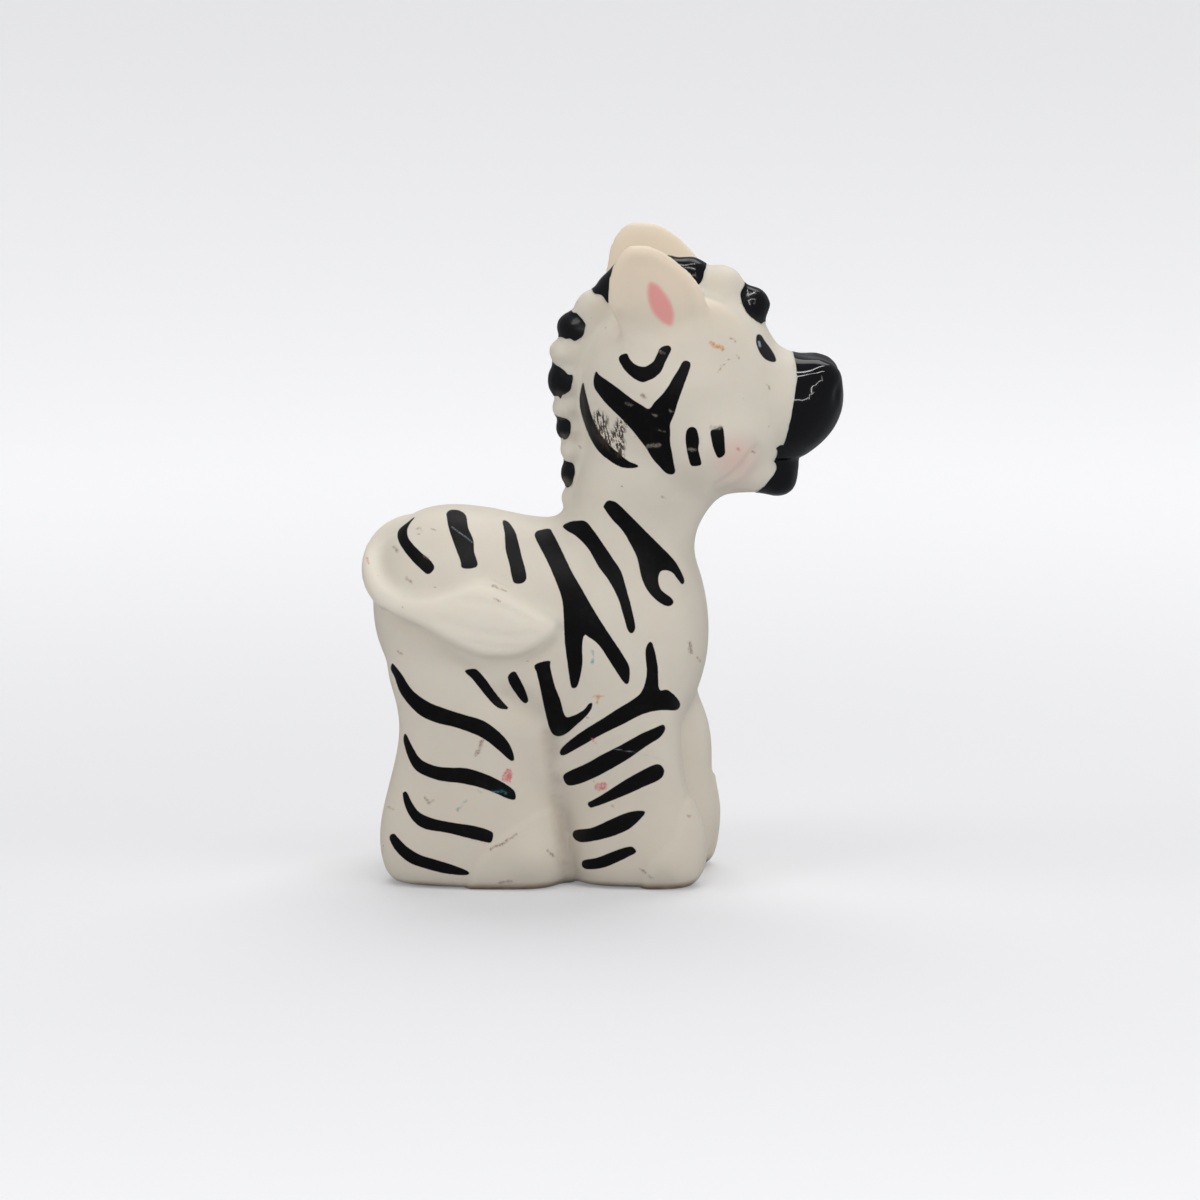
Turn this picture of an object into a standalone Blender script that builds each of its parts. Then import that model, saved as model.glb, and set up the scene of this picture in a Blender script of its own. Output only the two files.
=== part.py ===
"""Toy zebra foal: a hollow soft vinyl figure with moulded ears, tail and mane.

Metres. The foal faces +X, its left side is +Y and its flat base stands on Z = 0.
The outside is modelled as one soft form. That form is parted along its paint and
relief lines, and the large piece that remains is a hollow skin, whose casting mouth
in the base is closed by a pressed-in plug.
"""

import math

import bmesh
import bpy
from mathutils import Matrix, Vector
from mathutils.bvhtree import BVHTree

# Trunk and legs
BODY_LENGTH = 0.0382
BODY_WIDTH = 0.0262
BACK_HEIGHT = 0.0426
LEG_HEIGHT = 0.0240
HIND_STANCE = 0.0276
FRONT_STANCE = 0.0238
LEG_PARTING = 0.0012
HOOF_BULGE = 0.0005
WEB_WIDTH = 0.0210

# Neck and head
NECK_WIDTH = 0.0185
HEAD_LENGTH = 0.0220
HEAD_WIDTH = 0.0250
HEAD_HEIGHT = 0.0237
HEAD_RISE = 0.0131
HEAD_REACH = 0.0079
HEAD_TURN = math.radians(7.7)
MUZZLE_LENGTH = 0.0113
MUZZLE_WIDTH = 0.0152
MUZZLE_HEIGHT = 0.0122
CHIN_LENGTH = 0.0053
CHIN_WIDTH = 0.0092
CHIN_HEIGHT = 0.0050

# Ears, mane and tail
EAR_HEIGHT = 0.0119
EAR_WIDTH = 0.0117
EAR_THICKNESS = 0.0032
EAR_ROOT_SPREAD = 0.0156
EAR_LEAN = math.radians(11.0)
MANE_WIDTH = 0.0056
MANE_RISE = 0.0021
MANE_DEPTH = 0.0052
TAIL_THICKNESS = 0.0036
TAIL_ROOT_WIDTH = 0.0025
TAIL_TUFT_WIDTH = 0.0104

# Skin, plug and clearances
WALL = 0.0020
SEAM_GAP = 0.0003
PLUG_LENGTH = 0.0230
PLUG_WIDTH = 0.0090
PLUG_THICKNESS = 0.0036
CUT_OVERRUN = 0.0500

# Fineness of the soft forms
FORM_VOXEL = 0.0008
PIECE_VOXEL = 0.0005
FORM_SMOOTHING = 24
PIECE_SMOOTHING = 4
RING_POINTS = 28
SHARP_ANGLE = math.radians(40.0)
FORM_FACES_SHARE = 0.155
CAVITY_FACES_SHARE = 0.07
PIECE_FACES_SHARE = 0.12

# How square each outline is: 2 is an ellipse, more is nearer to a box.
TRUNK_SQUARENESS = 2.35
LEG_SQUARENESS = 2.8
WEB_SQUARENESS = 3.2
NECK_SQUARENESS = 2.1
EAR_SQUARENESS = 2.2
TAIL_SQUARENESS = 2.2
PLUG_SQUARENESS = 2.6

# The origin's share of the body's length, measured from the rump.
ORIGIN_SHARE = 0.687

# Trunk, from rump to chest: station, underside, top and width, as shares of body
# length, back height, back height and body width.
TRUNK_SHARES = (
    (0.000, 0.660, 0.806, 0.25),
    (0.015, 0.620, 0.855, 0.45),
    (0.045, 0.575, 0.909, 0.66),
    (0.081, 0.530, 0.953, 0.80),
    (0.127, 0.480, 0.980, 0.89),
    (0.178, 0.420, 0.997, 0.95),
    (0.256, 0.350, 1.000, 1.00),
    (0.337, 0.350, 0.993, 1.00),
    (0.401, 0.350, 0.980, 0.98),
    (0.464, 0.350, 0.969, 0.96),
    (0.527, 0.350, 0.963, 0.95),
    (0.678, 0.350, 0.955, 0.97),
    (0.798, 0.360, 0.942, 0.95),
    (0.889, 0.390, 0.915, 0.88),
    (0.949, 0.454, 0.869, 0.74),
    (0.979, 0.522, 0.793, 0.56),
    (0.997, 0.589, 0.706, 0.32),
)

# Legs: height, rear edge, front edge and outer side, as shares of leg height, body
# length, body length and half the stance.
HIND_LEG_SHARES = (
    (0.00, 0.073, 0.576, 0.94),
    (0.05, 0.055, 0.597, 0.99),
    (0.15, 0.040, 0.603, 1.00),
    (0.23, 0.034, 0.597, 1.00),
    (0.35, 0.037, 0.576, 0.97),
    (0.48, 0.055, 0.555, 0.95),
    (0.60, 0.076, 0.546, 0.94),
    (0.72, 0.088, 0.543, 0.94),
    (0.84, 0.091, 0.540, 0.95),
    (1.00, 0.080, 0.525, 0.95),
    (1.15, 0.075, 0.500, 0.93),
    (1.30, 0.100, 0.470, 0.86),
)
RIGHT_FRONT_LEG_SHARES = (
    (0.00, 0.621, 0.968, 0.92),
    (0.05, 0.609, 1.001, 0.98),
    (0.15, 0.603, 1.010, 1.00),
    (0.20, 0.603, 1.010, 1.00),
    (0.30, 0.606, 0.995, 1.00),
    (0.38, 0.609, 0.968, 0.98),
    (0.45, 0.606, 0.953, 0.98),
    (0.58, 0.594, 0.941, 1.00),
    (0.72, 0.582, 0.935, 1.03),
    (0.83, 0.576, 0.938, 1.05),
    (1.00, 0.570, 0.940, 1.06),
    (1.15, 0.580, 0.930, 1.04),
    (1.30, 0.600, 0.900, 0.96),
)
LEFT_FRONT_LEG_SHARES = (
    (0.00, 0.621, 0.975, 0.92),
    (0.05, 0.609, 1.003, 0.98),
    (0.16, 0.603, 1.013, 1.00),
    (0.26, 0.603, 1.019, 1.00),
    (0.37, 0.606, 1.014, 0.98),
    (0.42, 0.609, 1.003, 0.98),
    (0.52, 0.600, 1.001, 0.99),
    (0.63, 0.590, 0.993, 1.01),
    (0.75, 0.580, 0.972, 1.03),
    (0.85, 0.576, 0.945, 1.05),
    (1.00, 0.570, 0.940, 1.06),
    (1.15, 0.580, 0.930, 1.04),
    (1.30, 0.600, 0.900, 0.96),
)

# Hooves: middle along the body, half length, height of the middle and half height,
# as shares of body length, body length, leg height and leg height.
HIND_HOOF_SHARES = (0.500, 0.105, 0.15, 0.19)
FRONT_HOOF_SHARES = (0.905, 0.105, 0.13, 0.16)

# Web between the legs: height, rear edge, front edge and width.
WEB_SHARES = (
    (0.00, 0.130, 0.930, 0.62),
    (0.20, 0.130, 0.930, 0.72),
    (0.40, 0.140, 0.920, 0.92),
    (0.60, 0.145, 0.910, 1.08),
    (0.80, 0.150, 0.905, 1.16),
    (1.00, 0.160, 0.900, 1.20),
)

# Neck: height above the back, then rear and front edges from the middle of the head,
# and width, as shares of the head's rise, head length, head length and neck width.
NECK_SHARES = (
    (-0.849, -0.719, 0.141, 1.22),
    (-0.498, -0.658, 0.122, 1.12),
    (-0.322, -0.623, 0.122, 1.04),
    (-0.208, -0.599, 0.138, 1.00),
    (-0.101, -0.571, 0.169, 0.98),
    (-0.013, -0.550, 0.205, 1.00),
    (0.120, -0.514, 0.263, 1.06),
    (0.296, -0.491, 0.289, 1.10),
    (0.520, -0.458, 0.254, 1.04),
    (0.780, -0.389, 0.184, 0.84),
)

# Round masses of the head: forward, side and up, then the radii along the same three
# ways, as shares of head length, width and height.
SKULL_SHARES = (0.000, 0.00, 0.000, 0.500, 0.490, 0.500)
FACE_SHARES = (0.240, 0.00, 0.015, 0.335, 0.400, 0.478)
CHEEK_SHARES = (0.150, 0.24, -0.200, 0.310, 0.245, 0.270)
JAW_SHARES = (0.345, 0.00, -0.352, 0.225, 0.250, 0.158)
BRIDGE_SHARES = (0.500, 0.00, 0.015, 0.245, 0.275, 0.218)
MUZZLE_PLACE_SHARES = (0.640, -0.084)
CHIN_PLACE_SHARES = (0.540, -0.415)

# The slanting lines where the black muzzle and chin meet the white skin, and the
# level of the mouth between them.
MUZZLE_LINE_SHARES = (0.613, -0.049)
MUZZLE_LINE_TILT = math.radians(9.0)
CHIN_LINE_SHARES = (0.504, -0.409)
CHIN_LINE_TILT = math.radians(22.0)
MOUTH_SHARE = -0.339

# Ear: height above the root, rear edge, front edge and thickness, as shares of ear
# height, ear width, ear width and ear thickness.
EAR_PLACE_SHARES = (-0.073, 0.264)
EAR_SHARES = (
    (0.00, -0.36, 0.42, 0.60),
    (0.15, -0.45, 0.51, 0.84),
    (0.30, -0.49, 0.49, 0.96),
    (0.45, -0.50, 0.46, 0.94),
    (0.56, -0.49, 0.43, 0.90),
    (0.72, -0.46, 0.33, 0.84),
    (0.87, -0.40, 0.17, 0.74),
    (0.96, -0.31, 0.00, 0.60),
    (1.00, -0.24, -0.13, 0.40),
)

# Mane: where one tuft ends and the next begins, from the withers over the crown to
# the forehead. Forward and up, as shares of head length and head height.
MANE_LINE_SHARES = (
    (-0.530, -0.579),
    (-0.530, -0.473),
    (-0.530, -0.342),
    (-0.540, -0.241),
    (-0.550, -0.133),
    (-0.562, -0.039),
    (-0.571, 0.125),
    (-0.561, 0.241),
    (-0.499, 0.376),
    (-0.410, 0.470),
    (-0.312, 0.535),
    (-0.203, 0.572),
    (-0.088, 0.586),
    (0.036, 0.584),
    (0.177, 0.560),
    (0.369, 0.458),
    (0.499, 0.357),
)
# Each tuft's rise above that line, and how far each place on it follows the turn of
# the head.
MANE_RISE_SHARES = (
    0.49, 0.49, 0.49, 0.60, 0.70, 0.79, 0.73, 0.82,
    0.73, 0.82, 0.70, 0.76, 0.70, 0.78, 0.72, 0.92,
)
MANE_TURN_SHARES = (
    0.0, 0.1, 0.3, 0.5, 0.7, 0.9, 1.0, 1.0, 1.0,
    1.0, 1.0, 1.0, 1.0, 1.0, 1.0, 1.0, 1.0,
)
TWO_LOBED_TUFT = 14
LOBE_FULLNESS_SHARE = 1.45

# Tail: its line from the rump round to the right flank, along the body, up and out
# to the right, then its width from root (0) to tuft (1), and its thickness.
TAIL_SHARES = (
    (0.100, 0.960, 0.00, 0.00, 0.70),
    (0.034, 0.925, 0.16, 0.05, 0.95),
    (0.000, 0.875, 0.36, 0.05, 1.10),
    (0.010, 0.825, 0.62, 0.06, 1.12),
    (0.059, 0.779, 0.86, 0.08, 1.05),
    (0.124, 0.760, 0.99, 0.12, 0.95),
    (0.192, 0.750, 1.03, 0.27, 0.90),
    (0.264, 0.737, 1.04, 0.64, 0.88),
    (0.345, 0.728, 1.04, 1.00, 0.82),
    (0.429, 0.718, 1.02, 0.92, 0.72),
    (0.505, 0.705, 1.00, 0.55, 0.60),
    (0.585, 0.715, 0.98, 0.02, 0.40),
)
TAIL_CORE_SHARES = ((0.25, 0.70), (0.85, 0.70))

# Base plug: height and breadth of each step, as shares of its thickness and of its
# length and width. The neck near the top lets it snap over the edge of the mouth.
PLUG_PLACE_SHARE = 0.515
PLUG_SHARES = (
    (0.00, 0.98),
    (0.06, 1.00),
    (0.52, 1.00),
    (0.60, 0.94),
    (0.76, 0.94),
    (0.90, 0.98),
    (1.00, 0.90),
)

WHITE = (0.760, 0.690, 0.580, 1.0)
BLACK = (0.008, 0.007, 0.009, 1.0)
PLUG_WHITE = (0.640, 0.590, 0.500, 1.0)

X_AXIS = Vector((1, 0, 0))
Y_AXIS = Vector((0, 1, 0))
Z_AXIS = Vector((0, 0, 1))


def clear_scene():
    for item in list(bpy.data.objects):
        bpy.data.objects.remove(item)


def new_collection(name):
    group = bpy.data.collections.new(name)
    bpy.context.scene.collection.children.link(group)
    return group


def new_material(name, colour, roughness):
    material = bpy.data.materials.new(name)
    material.use_nodes = True
    shader = material.node_tree.nodes["Principled BSDF"]
    shader.inputs["Base Color"].default_value = colour
    shader.inputs["Roughness"].default_value = roughness
    shader.inputs["Metallic"].default_value = 0.0
    return material


def object_from(mesh, name, group):
    data = bpy.data.meshes.new(name)
    mesh.to_mesh(data)
    mesh.free()
    item = bpy.data.objects.new(name, data)
    group.objects.link(item)
    return item


def duplicate(item, name, group):
    other = bpy.data.objects.new(name, item.data.copy())
    group.objects.link(other)
    return other


def baked(item):
    """Replaces an object's mesh with the shape that its modifiers give."""
    graph = bpy.context.evaluated_depsgraph_get()
    data = bpy.data.meshes.new_from_object(item.evaluated_get(graph))
    item.modifiers.clear()
    old = item.data
    item.data = data
    bpy.data.meshes.remove(old)


def soften(item, voxel, smoothing, faces_share):
    """Melts overlapping masses into one soft closed form and thins its faces."""
    melt = item.modifiers.new("melt", "REMESH")
    melt.mode = "VOXEL"
    melt.voxel_size = voxel
    smooth = item.modifiers.new("smooth", "SMOOTH")
    smooth.factor = 0.5
    smooth.iterations = smoothing
    thin = item.modifiers.new("thin", "DECIMATE")
    thin.ratio = faces_share
    baked(item)


def cut(item, cutter, operation):
    step = item.modifiers.new(operation.lower(), "BOOLEAN")
    step.operation = operation
    step.object = cutter
    step.solver = "EXACT"
    baked(item)


def grown(item, name, group, distance):
    """A copy whose surface stands the given distance further out."""
    other = duplicate(item, name, group)
    swell = other.modifiers.new("swell", "DISPLACE")
    swell.strength = distance
    swell.mid_level = 0.0
    baked(other)
    return other


def finish(item, material):
    item.data.materials.clear()
    item.data.materials.append(material)
    item.data.shade_smooth()
    item.data.set_sharp_from_angle(angle=SHARP_ANGLE)


def ring(centre, across, up, half_across, half_up, squareness):
    """Points round an outline that runs from an ellipse (2) towards a box."""
    points = []
    for step in range(RING_POINTS):
        angle = 2.0 * math.pi * step / RING_POINTS
        c = math.cos(angle)
        s = math.sin(angle)
        a = math.copysign(abs(c) ** (2.0 / squareness), c) * half_across
        b = math.copysign(abs(s) ** (2.0 / squareness), s) * half_up
        points.append(centre + across * a + up * b)
    return points


def add_loft(mesh, rings):
    """A closed body that passes through a row of rings."""
    rows = [[mesh.verts.new(point) for point in points] for points in rings]
    faces = [mesh.faces.new(rows[0]), mesh.faces.new(rows[-1])]
    for lower, upper in zip(rows, rows[1:]):
        for i in range(RING_POINTS):
            j = (i + 1) % RING_POINTS
            faces.append(mesh.faces.new((lower[i], lower[j], upper[j], upper[i])))
    bmesh.ops.recalc_face_normals(mesh, faces=faces)


def add_ball(mesh, frame, centre, radii):
    place = frame @ Matrix.Translation(centre) @ Matrix.Diagonal((*radii, 1.0))
    bmesh.ops.create_icosphere(mesh, subdivisions=4, radius=1.0, matrix=place)


def box(name, group, frame, low, high):
    mesh = bmesh.new()
    size = [b - a for a, b in zip(low, high)]
    centre = [(a + b) / 2 for a, b in zip(low, high)]
    place = frame @ Matrix.Translation(centre) @ Matrix.Diagonal((*size, 1.0))
    bmesh.ops.create_cube(mesh, size=1.0, matrix=place)
    return object_from(mesh, name, group)


def along(share):
    """Place along the body for a share of its length, counted from the rump."""
    return (share - ORIGIN_SHARE) * BODY_LENGTH


def below_head(share):
    """Place along the body for a share of head length, counted from its middle."""
    return HEAD_REACH + share * HEAD_LENGTH


def head_place(shares):
    forward, side, up = shares
    return Vector((forward * HEAD_LENGTH, side * HEAD_WIDTH, up * HEAD_HEIGHT))


def head_frame(turn_share=1.0):
    """The head's own axes: forward, left and up from the middle of the skull."""
    middle = Matrix.Translation((HEAD_REACH, 0, BACK_HEIGHT + HEAD_RISE))
    return middle @ Matrix.Rotation(HEAD_TURN * turn_share, 4, "Z")


def add_trunk(mesh, inset):
    rings = []
    for station, low, top, width in TRUNK_SHARES:
        x = along(station)
        half_up = (top - low) * BACK_HEIGHT / 2 - inset
        half_side = width * BODY_WIDTH / 2 - inset
        if along(0) + inset <= x <= along(1) - inset:
            centre = Vector((x, 0, (top + low) * BACK_HEIGHT / 2))
            rings.append(ring(centre, Y_AXIS, Z_AXIS, half_side, half_up, TRUNK_SQUARENESS))
    add_loft(mesh, rings)


def add_upright(mesh, rows, place, level, sides, inset, squareness):
    """A leg, the web or the neck: level rings between four edges."""
    rings = []
    for share, rear, front, width in rows:
        low, high = sides(width)
        half_side = (high - low) / 2 - inset
        half_along = (place(front) - place(rear)) / 2 - inset
        middle = (place(front) + place(rear)) / 2
        centre = Vector((middle, (high + low) / 2, level(share)))
        rings.append(ring(centre, X_AXIS, Y_AXIS, half_along, half_side, squareness))
    add_loft(mesh, rings)


def leg_level(share):
    return share * LEG_HEIGHT


def neck_level(share):
    return BACK_HEIGHT + share * HEAD_RISE


def leg_sides(stance, side):
    inner = side * LEG_PARTING / 2

    def sides(width):
        outer = side * width * stance / 2
        return min(inner, outer), max(inner, outer)

    return sides


def even_sides(full_width):
    def sides(width):
        return -width * full_width / 2, width * full_width / 2

    return sides


def add_hoof(mesh, shares, stance, side, inset):
    """The rounded toe that swells forward and sideways at the foot of a leg."""
    station, half_length, middle, half_height = shares
    half_side = (stance - LEG_PARTING) / 4 + HOOF_BULGE - inset
    centre = (along(station), side * (stance + LEG_PARTING) / 4, middle * LEG_HEIGHT)
    radii = (half_length * BODY_LENGTH - inset, half_side, half_height * LEG_HEIGHT - inset)
    add_ball(mesh, Matrix.Identity(4), centre, radii)


def add_body(mesh, inset):
    add_trunk(mesh, inset)
    for side in (-1, 1):
        front_rows = RIGHT_FRONT_LEG_SHARES if side < 0 else LEFT_FRONT_LEG_SHARES
        hind = leg_sides(HIND_STANCE, side)
        front = leg_sides(FRONT_STANCE, side)
        for rows, sides in ((HIND_LEG_SHARES, hind), (front_rows, front)):
            add_upright(mesh, rows, along, leg_level, sides, inset, LEG_SQUARENESS)
        add_hoof(mesh, HIND_HOOF_SHARES, HIND_STANCE, side, inset)
        add_hoof(mesh, FRONT_HOOF_SHARES, FRONT_STANCE, side, inset)
    web = even_sides(WEB_WIDTH)
    neck = even_sides(NECK_WIDTH)
    add_upright(mesh, WEB_SHARES, along, leg_level, web, inset, WEB_SQUARENESS)
    add_upright(mesh, NECK_SHARES, below_head, neck_level, neck, inset, NECK_SQUARENESS)


def add_head_mass(mesh, shares, side, inset):
    forward, out, up = shares[:3]
    centre = head_place((forward, side * out, up))
    radii = head_place(shares[3:]) - Vector((inset, inset, inset))
    add_ball(mesh, head_frame(), centre, radii)


def add_head(mesh, inset):
    add_head_mass(mesh, SKULL_SHARES, 1, inset)
    add_head_mass(mesh, FACE_SHARES, 1, inset)
    for side in (-1, 1):
        add_head_mass(mesh, CHEEK_SHARES, side, inset)


def add_snout(mesh):
    add_head_mass(mesh, JAW_SHARES, 1, 0)
    add_head_mass(mesh, BRIDGE_SHARES, 1, 0)
    muzzle = (MUZZLE_LENGTH / 2, MUZZLE_WIDTH / 2, MUZZLE_HEIGHT / 2)
    chin = (CHIN_LENGTH / 2, CHIN_WIDTH / 2, CHIN_HEIGHT / 2)
    for (forward, up), radii in ((MUZZLE_PLACE_SHARES, muzzle), (CHIN_PLACE_SHARES, chin)):
        add_ball(mesh, head_frame(), head_place((forward, 0, up)), radii)


def trim_below(item, tools, height):
    low = (-CUT_OVERRUN, -CUT_OVERRUN, -CUT_OVERRUN)
    ground = box("ground", tools, Matrix(), low, (CUT_OVERRUN, CUT_OVERRUN, height))
    cut(item, ground, "DIFFERENCE")


def outside_form(tools):
    """The solid outside of trunk, legs, neck, head and snout."""
    mesh = bmesh.new()
    add_body(mesh, 0)
    add_head(mesh, 0)
    add_snout(mesh)
    form = object_from(mesh, "form", tools)
    soften(form, FORM_VOXEL, FORM_SMOOTHING, FORM_FACES_SHARE)
    trim_below(form, tools, 0)
    return form


def cavity_form(tools):
    """The hollow: the same masses, one wall thickness smaller all round."""
    mesh = bmesh.new()
    add_body(mesh, WALL)
    add_head(mesh, WALL)
    cavity = object_from(mesh, "cavity", tools)
    soften(cavity, FORM_VOXEL, FORM_SMOOTHING, CAVITY_FACES_SHARE)
    trim_below(cavity, tools, WALL)
    return cavity


def plug_ring(height, share, margin):
    centre = Vector((along(PLUG_PLACE_SHARE), 0, height))
    half_along = share * PLUG_LENGTH / 2 + margin
    half_side = share * PLUG_WIDTH / 2 + margin
    return ring(centre, X_AXIS, Y_AXIS, half_along, half_side, PLUG_SQUARENESS)


def add_base_plug(parts, material):
    """The plug that closes the casting mouth, flush with the base."""
    mesh = bmesh.new()
    add_loft(mesh, [plug_ring(h * PLUG_THICKNESS, share, 0) for h, share in PLUG_SHARES])
    finish(object_from(mesh, "base_plug", parts), material)


def mouth_cutter(tools):
    mesh = bmesh.new()
    top = PLUG_THICKNESS + WALL
    add_loft(mesh, [plug_ring(-CUT_OVERRUN, 1.0, SEAM_GAP), plug_ring(top, 1.0, SEAM_GAP)])
    return object_from(mesh, "mouth", tools)


def paint_region(name, tools, line_shares, tilt, above, margin):
    """The space in front of a slanting paint line, above or below the mouth."""
    forward, up = line_shares
    slant = Matrix.Identity(4)
    slant[0][2] = math.tan(tilt)
    place = Matrix.Translation(head_place((forward, 0, up)))
    frame = head_frame() @ place @ slant
    mouth = (MOUTH_SHARE - up) * HEAD_HEIGHT
    low = Vector((-margin, -HEAD_WIDTH, -CHIN_HEIGHT))
    high = Vector((HEAD_LENGTH, HEAD_WIDTH, HEAD_HEIGHT))
    if above:
        low.z = mouth + SEAM_GAP / 2 - margin
    else:
        high.z = mouth - SEAM_GAP / 2 + margin
    return box(name, tools, frame, low, high)


def muzzle_region(tools, margin):
    return paint_region(
        "muzzle_region", tools, MUZZLE_LINE_SHARES, MUZZLE_LINE_TILT, True, margin
    )


def chin_region(tools, margin):
    return paint_region(
        "chin_region", tools, CHIN_LINE_SHARES, CHIN_LINE_TILT, False, margin
    )


def add_snout_pieces(form, parts, tools, material):
    for name, region in (("muzzle", muzzle_region), ("chin", chin_region)):
        piece = duplicate(form, name, parts)
        cut(piece, region(tools, 0), "INTERSECT")
        finish(piece, material)


def add_body_shell(form, parts, tools, material):
    shell = duplicate(form, "body_shell", parts)
    cutters = (
        muzzle_region(tools, SEAM_GAP),
        chin_region(tools, SEAM_GAP),
        cavity_form(tools),
        mouth_cutter(tools),
    )
    for cutter in cutters:
        cut(shell, cutter, "DIFFERENCE")
    finish(shell, material)


def add_ear(side, name, seat, parts, material):
    forward, up = EAR_PLACE_SHARES
    root = (forward * HEAD_LENGTH, side * EAR_ROOT_SPREAD / 2, up * HEAD_HEIGHT)
    lean = Matrix.Rotation(-side * EAR_LEAN, 4, "X")
    frame = head_frame() @ Matrix.Translation(root) @ lean
    axes = frame.to_3x3()
    rings = []
    for rise, rear, front, thickness in EAR_SHARES:
        middle = frame @ Vector(((rear + front) * EAR_WIDTH / 2, 0, rise * EAR_HEIGHT))
        half_along = (front - rear) * EAR_WIDTH / 2
        half_side = thickness * EAR_THICKNESS / 2
        across, out = axes @ X_AXIS, axes @ Y_AXIS
        rings.append(ring(middle, across, out, half_along, half_side, EAR_SQUARENESS))
    mesh = bmesh.new()
    add_loft(mesh, rings)
    piece = object_from(mesh, name, parts)
    soften(piece, PIECE_VOXEL, PIECE_SMOOTHING, PIECE_FACES_SHARE)
    cut(piece, seat, "DIFFERENCE")
    finish(piece, material)


def mane_places():
    """The places where tufts meet, and the mane's direction at each of them."""
    points = []
    for (forward, up), turn_share in zip(MANE_LINE_SHARES, MANE_TURN_SHARES):
        points.append(head_frame(turn_share) @ head_place((forward, 0, up)))
    ways = []
    for i in range(len(points)):
        ahead = points[min(i + 1, len(points) - 1)]
        behind = points[max(i - 1, 0)]
        ways.append((ahead - behind).normalized())
    return points, ways


def add_lobe(mesh, start, end, rise):
    """One rounded lobe of the mane, longer than its span so that neighbours meet."""
    run = (end - start).normalized()
    out = run.cross(Y_AXIS).normalized()
    half_run = (end - start).length / 2 * LOBE_FULLNESS_SHARE
    centre = (start + end) / 2 + out * (rise - MANE_DEPTH / 2)
    axes = Matrix((run, out.cross(run), out)).transposed().to_4x4()
    sizes = Matrix.Diagonal((half_run, MANE_WIDTH / 2, MANE_DEPTH / 2, 1.0))
    place = Matrix.Translation(centre) @ axes @ sizes
    bmesh.ops.create_uvsphere(mesh, u_segments=14, v_segments=8, radius=1.0, matrix=place)


def slice_off(mesh, point, way):
    """Removes what lies beyond a plane and closes the cut."""
    everything = mesh.verts[:] + mesh.edges[:] + mesh.faces[:]
    bmesh.ops.bisect_plane(
        mesh, geom=everything, dist=0, plane_co=point, plane_no=way, clear_outer=True
    )
    rim = [edge for edge in mesh.edges if edge.is_boundary]
    bmesh.ops.holes_fill(mesh, edges=rim)


def add_mane(seat, parts, tools, white, black):
    """The row of tufts, white and black in turn, from the withers to the forehead."""
    points, ways = mane_places()
    for index, rise_share in enumerate(MANE_RISE_SHARES):
        spans = [(points[index], points[index + 1])]
        if index == TWO_LOBED_TUFT:
            middle = (spans[0][0] + spans[0][1]) / 2
            spans = [(points[index], middle), (middle, points[index + 1])]
        lobes = []
        for start, end in spans:
            mesh = bmesh.new()
            add_lobe(mesh, start, end, rise_share * MANE_RISE)
            near = points[index] + ways[index] * SEAM_GAP / 2
            far = points[index + 1] - ways[index + 1] * SEAM_GAP / 2
            slice_off(mesh, near, -ways[index])
            slice_off(mesh, far, ways[index + 1])
            lobes.append(object_from(mesh, "lobe", tools))
        colour = "black" if index % 2 else "white"
        tuft = duplicate(lobes[0], f"mane_tuft_{colour}_{index // 2 + 1}", parts)
        for lobe in lobes[1:]:
            cut(tuft, lobe, "UNION")
        cut(tuft, seat, "DIFFERENCE")
        finish(tuft, black if index % 2 else white)


def add_tail(form, seat, parts, material):
    """The tail lies on the skin: its line is set down on the form before lofting."""
    surface = BVHTree.FromPolygons(
        [v.co for v in form.data.vertices], [p.vertices for p in form.data.polygons]
    )
    core = [Vector((along(x), 0, z * BACK_HEIGHT)) for x, z in TAIL_CORE_SHARES]
    middles = []
    outward = []
    for station, up, out, _, _ in TAIL_SHARES:
        point = Vector((along(station), -out * BODY_WIDTH / 2, up * BACK_HEIGHT))
        share = (point - core[0]).dot(core[1] - core[0]) / (core[1] - core[0]).length_squared
        inner = core[0].lerp(core[1], max(0.0, share))
        way = (point - inner).normalized()
        hit = surface.ray_cast(point + way * BODY_WIDTH, -way)[0]
        middles.append(hit)
        outward.append(way)
    rings = []
    for i, (_, _, _, width, thickness) in enumerate(TAIL_SHARES):
        before = middles[max(i - 1, 0)]
        after = middles[min(i + 1, len(middles) - 1)]
        run = (after - before).normalized()
        across = run.cross(outward[i]).normalized()
        out = across.cross(run)
        half_across = (TAIL_ROOT_WIDTH + width * (TAIL_TUFT_WIDTH - TAIL_ROOT_WIDTH)) / 2
        half_out = thickness * TAIL_THICKNESS / 2
        rings.append(ring(middles[i], across, out, half_across, half_out, TAIL_SQUARENESS))
    mesh = bmesh.new()
    add_loft(mesh, rings)
    tail = object_from(mesh, "tail", parts)
    soften(tail, PIECE_VOXEL, PIECE_SMOOTHING, PIECE_FACES_SHARE)
    cut(tail, seat, "DIFFERENCE")
    finish(tail, material)


def main():
    clear_scene()
    parts = new_collection("toy_zebra_foal")
    tools = new_collection("cutters")
    white = new_material("white_vinyl", WHITE, 0.5)
    black = new_material("black_gloss_paint", BLACK, 0.15)
    plug = new_material("plug_plastic", PLUG_WHITE, 0.6)

    form = outside_form(tools)
    seat = grown(form, "seat", tools, SEAM_GAP)
    add_body_shell(form, parts, tools, white)
    add_base_plug(parts, plug)
    add_snout_pieces(form, parts, tools, black)
    add_ear(-1, "ear_right", seat, parts, white)
    add_ear(1, "ear_left", seat, parts, white)
    add_mane(seat, parts, tools, white, black)
    add_tail(form, seat, parts, white)
    for cutter in tools.objects:
        cutter.hide_render = True
        cutter.hide_set(True)
        cutter.display_type = "WIRE"


main()
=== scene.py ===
import math

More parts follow.
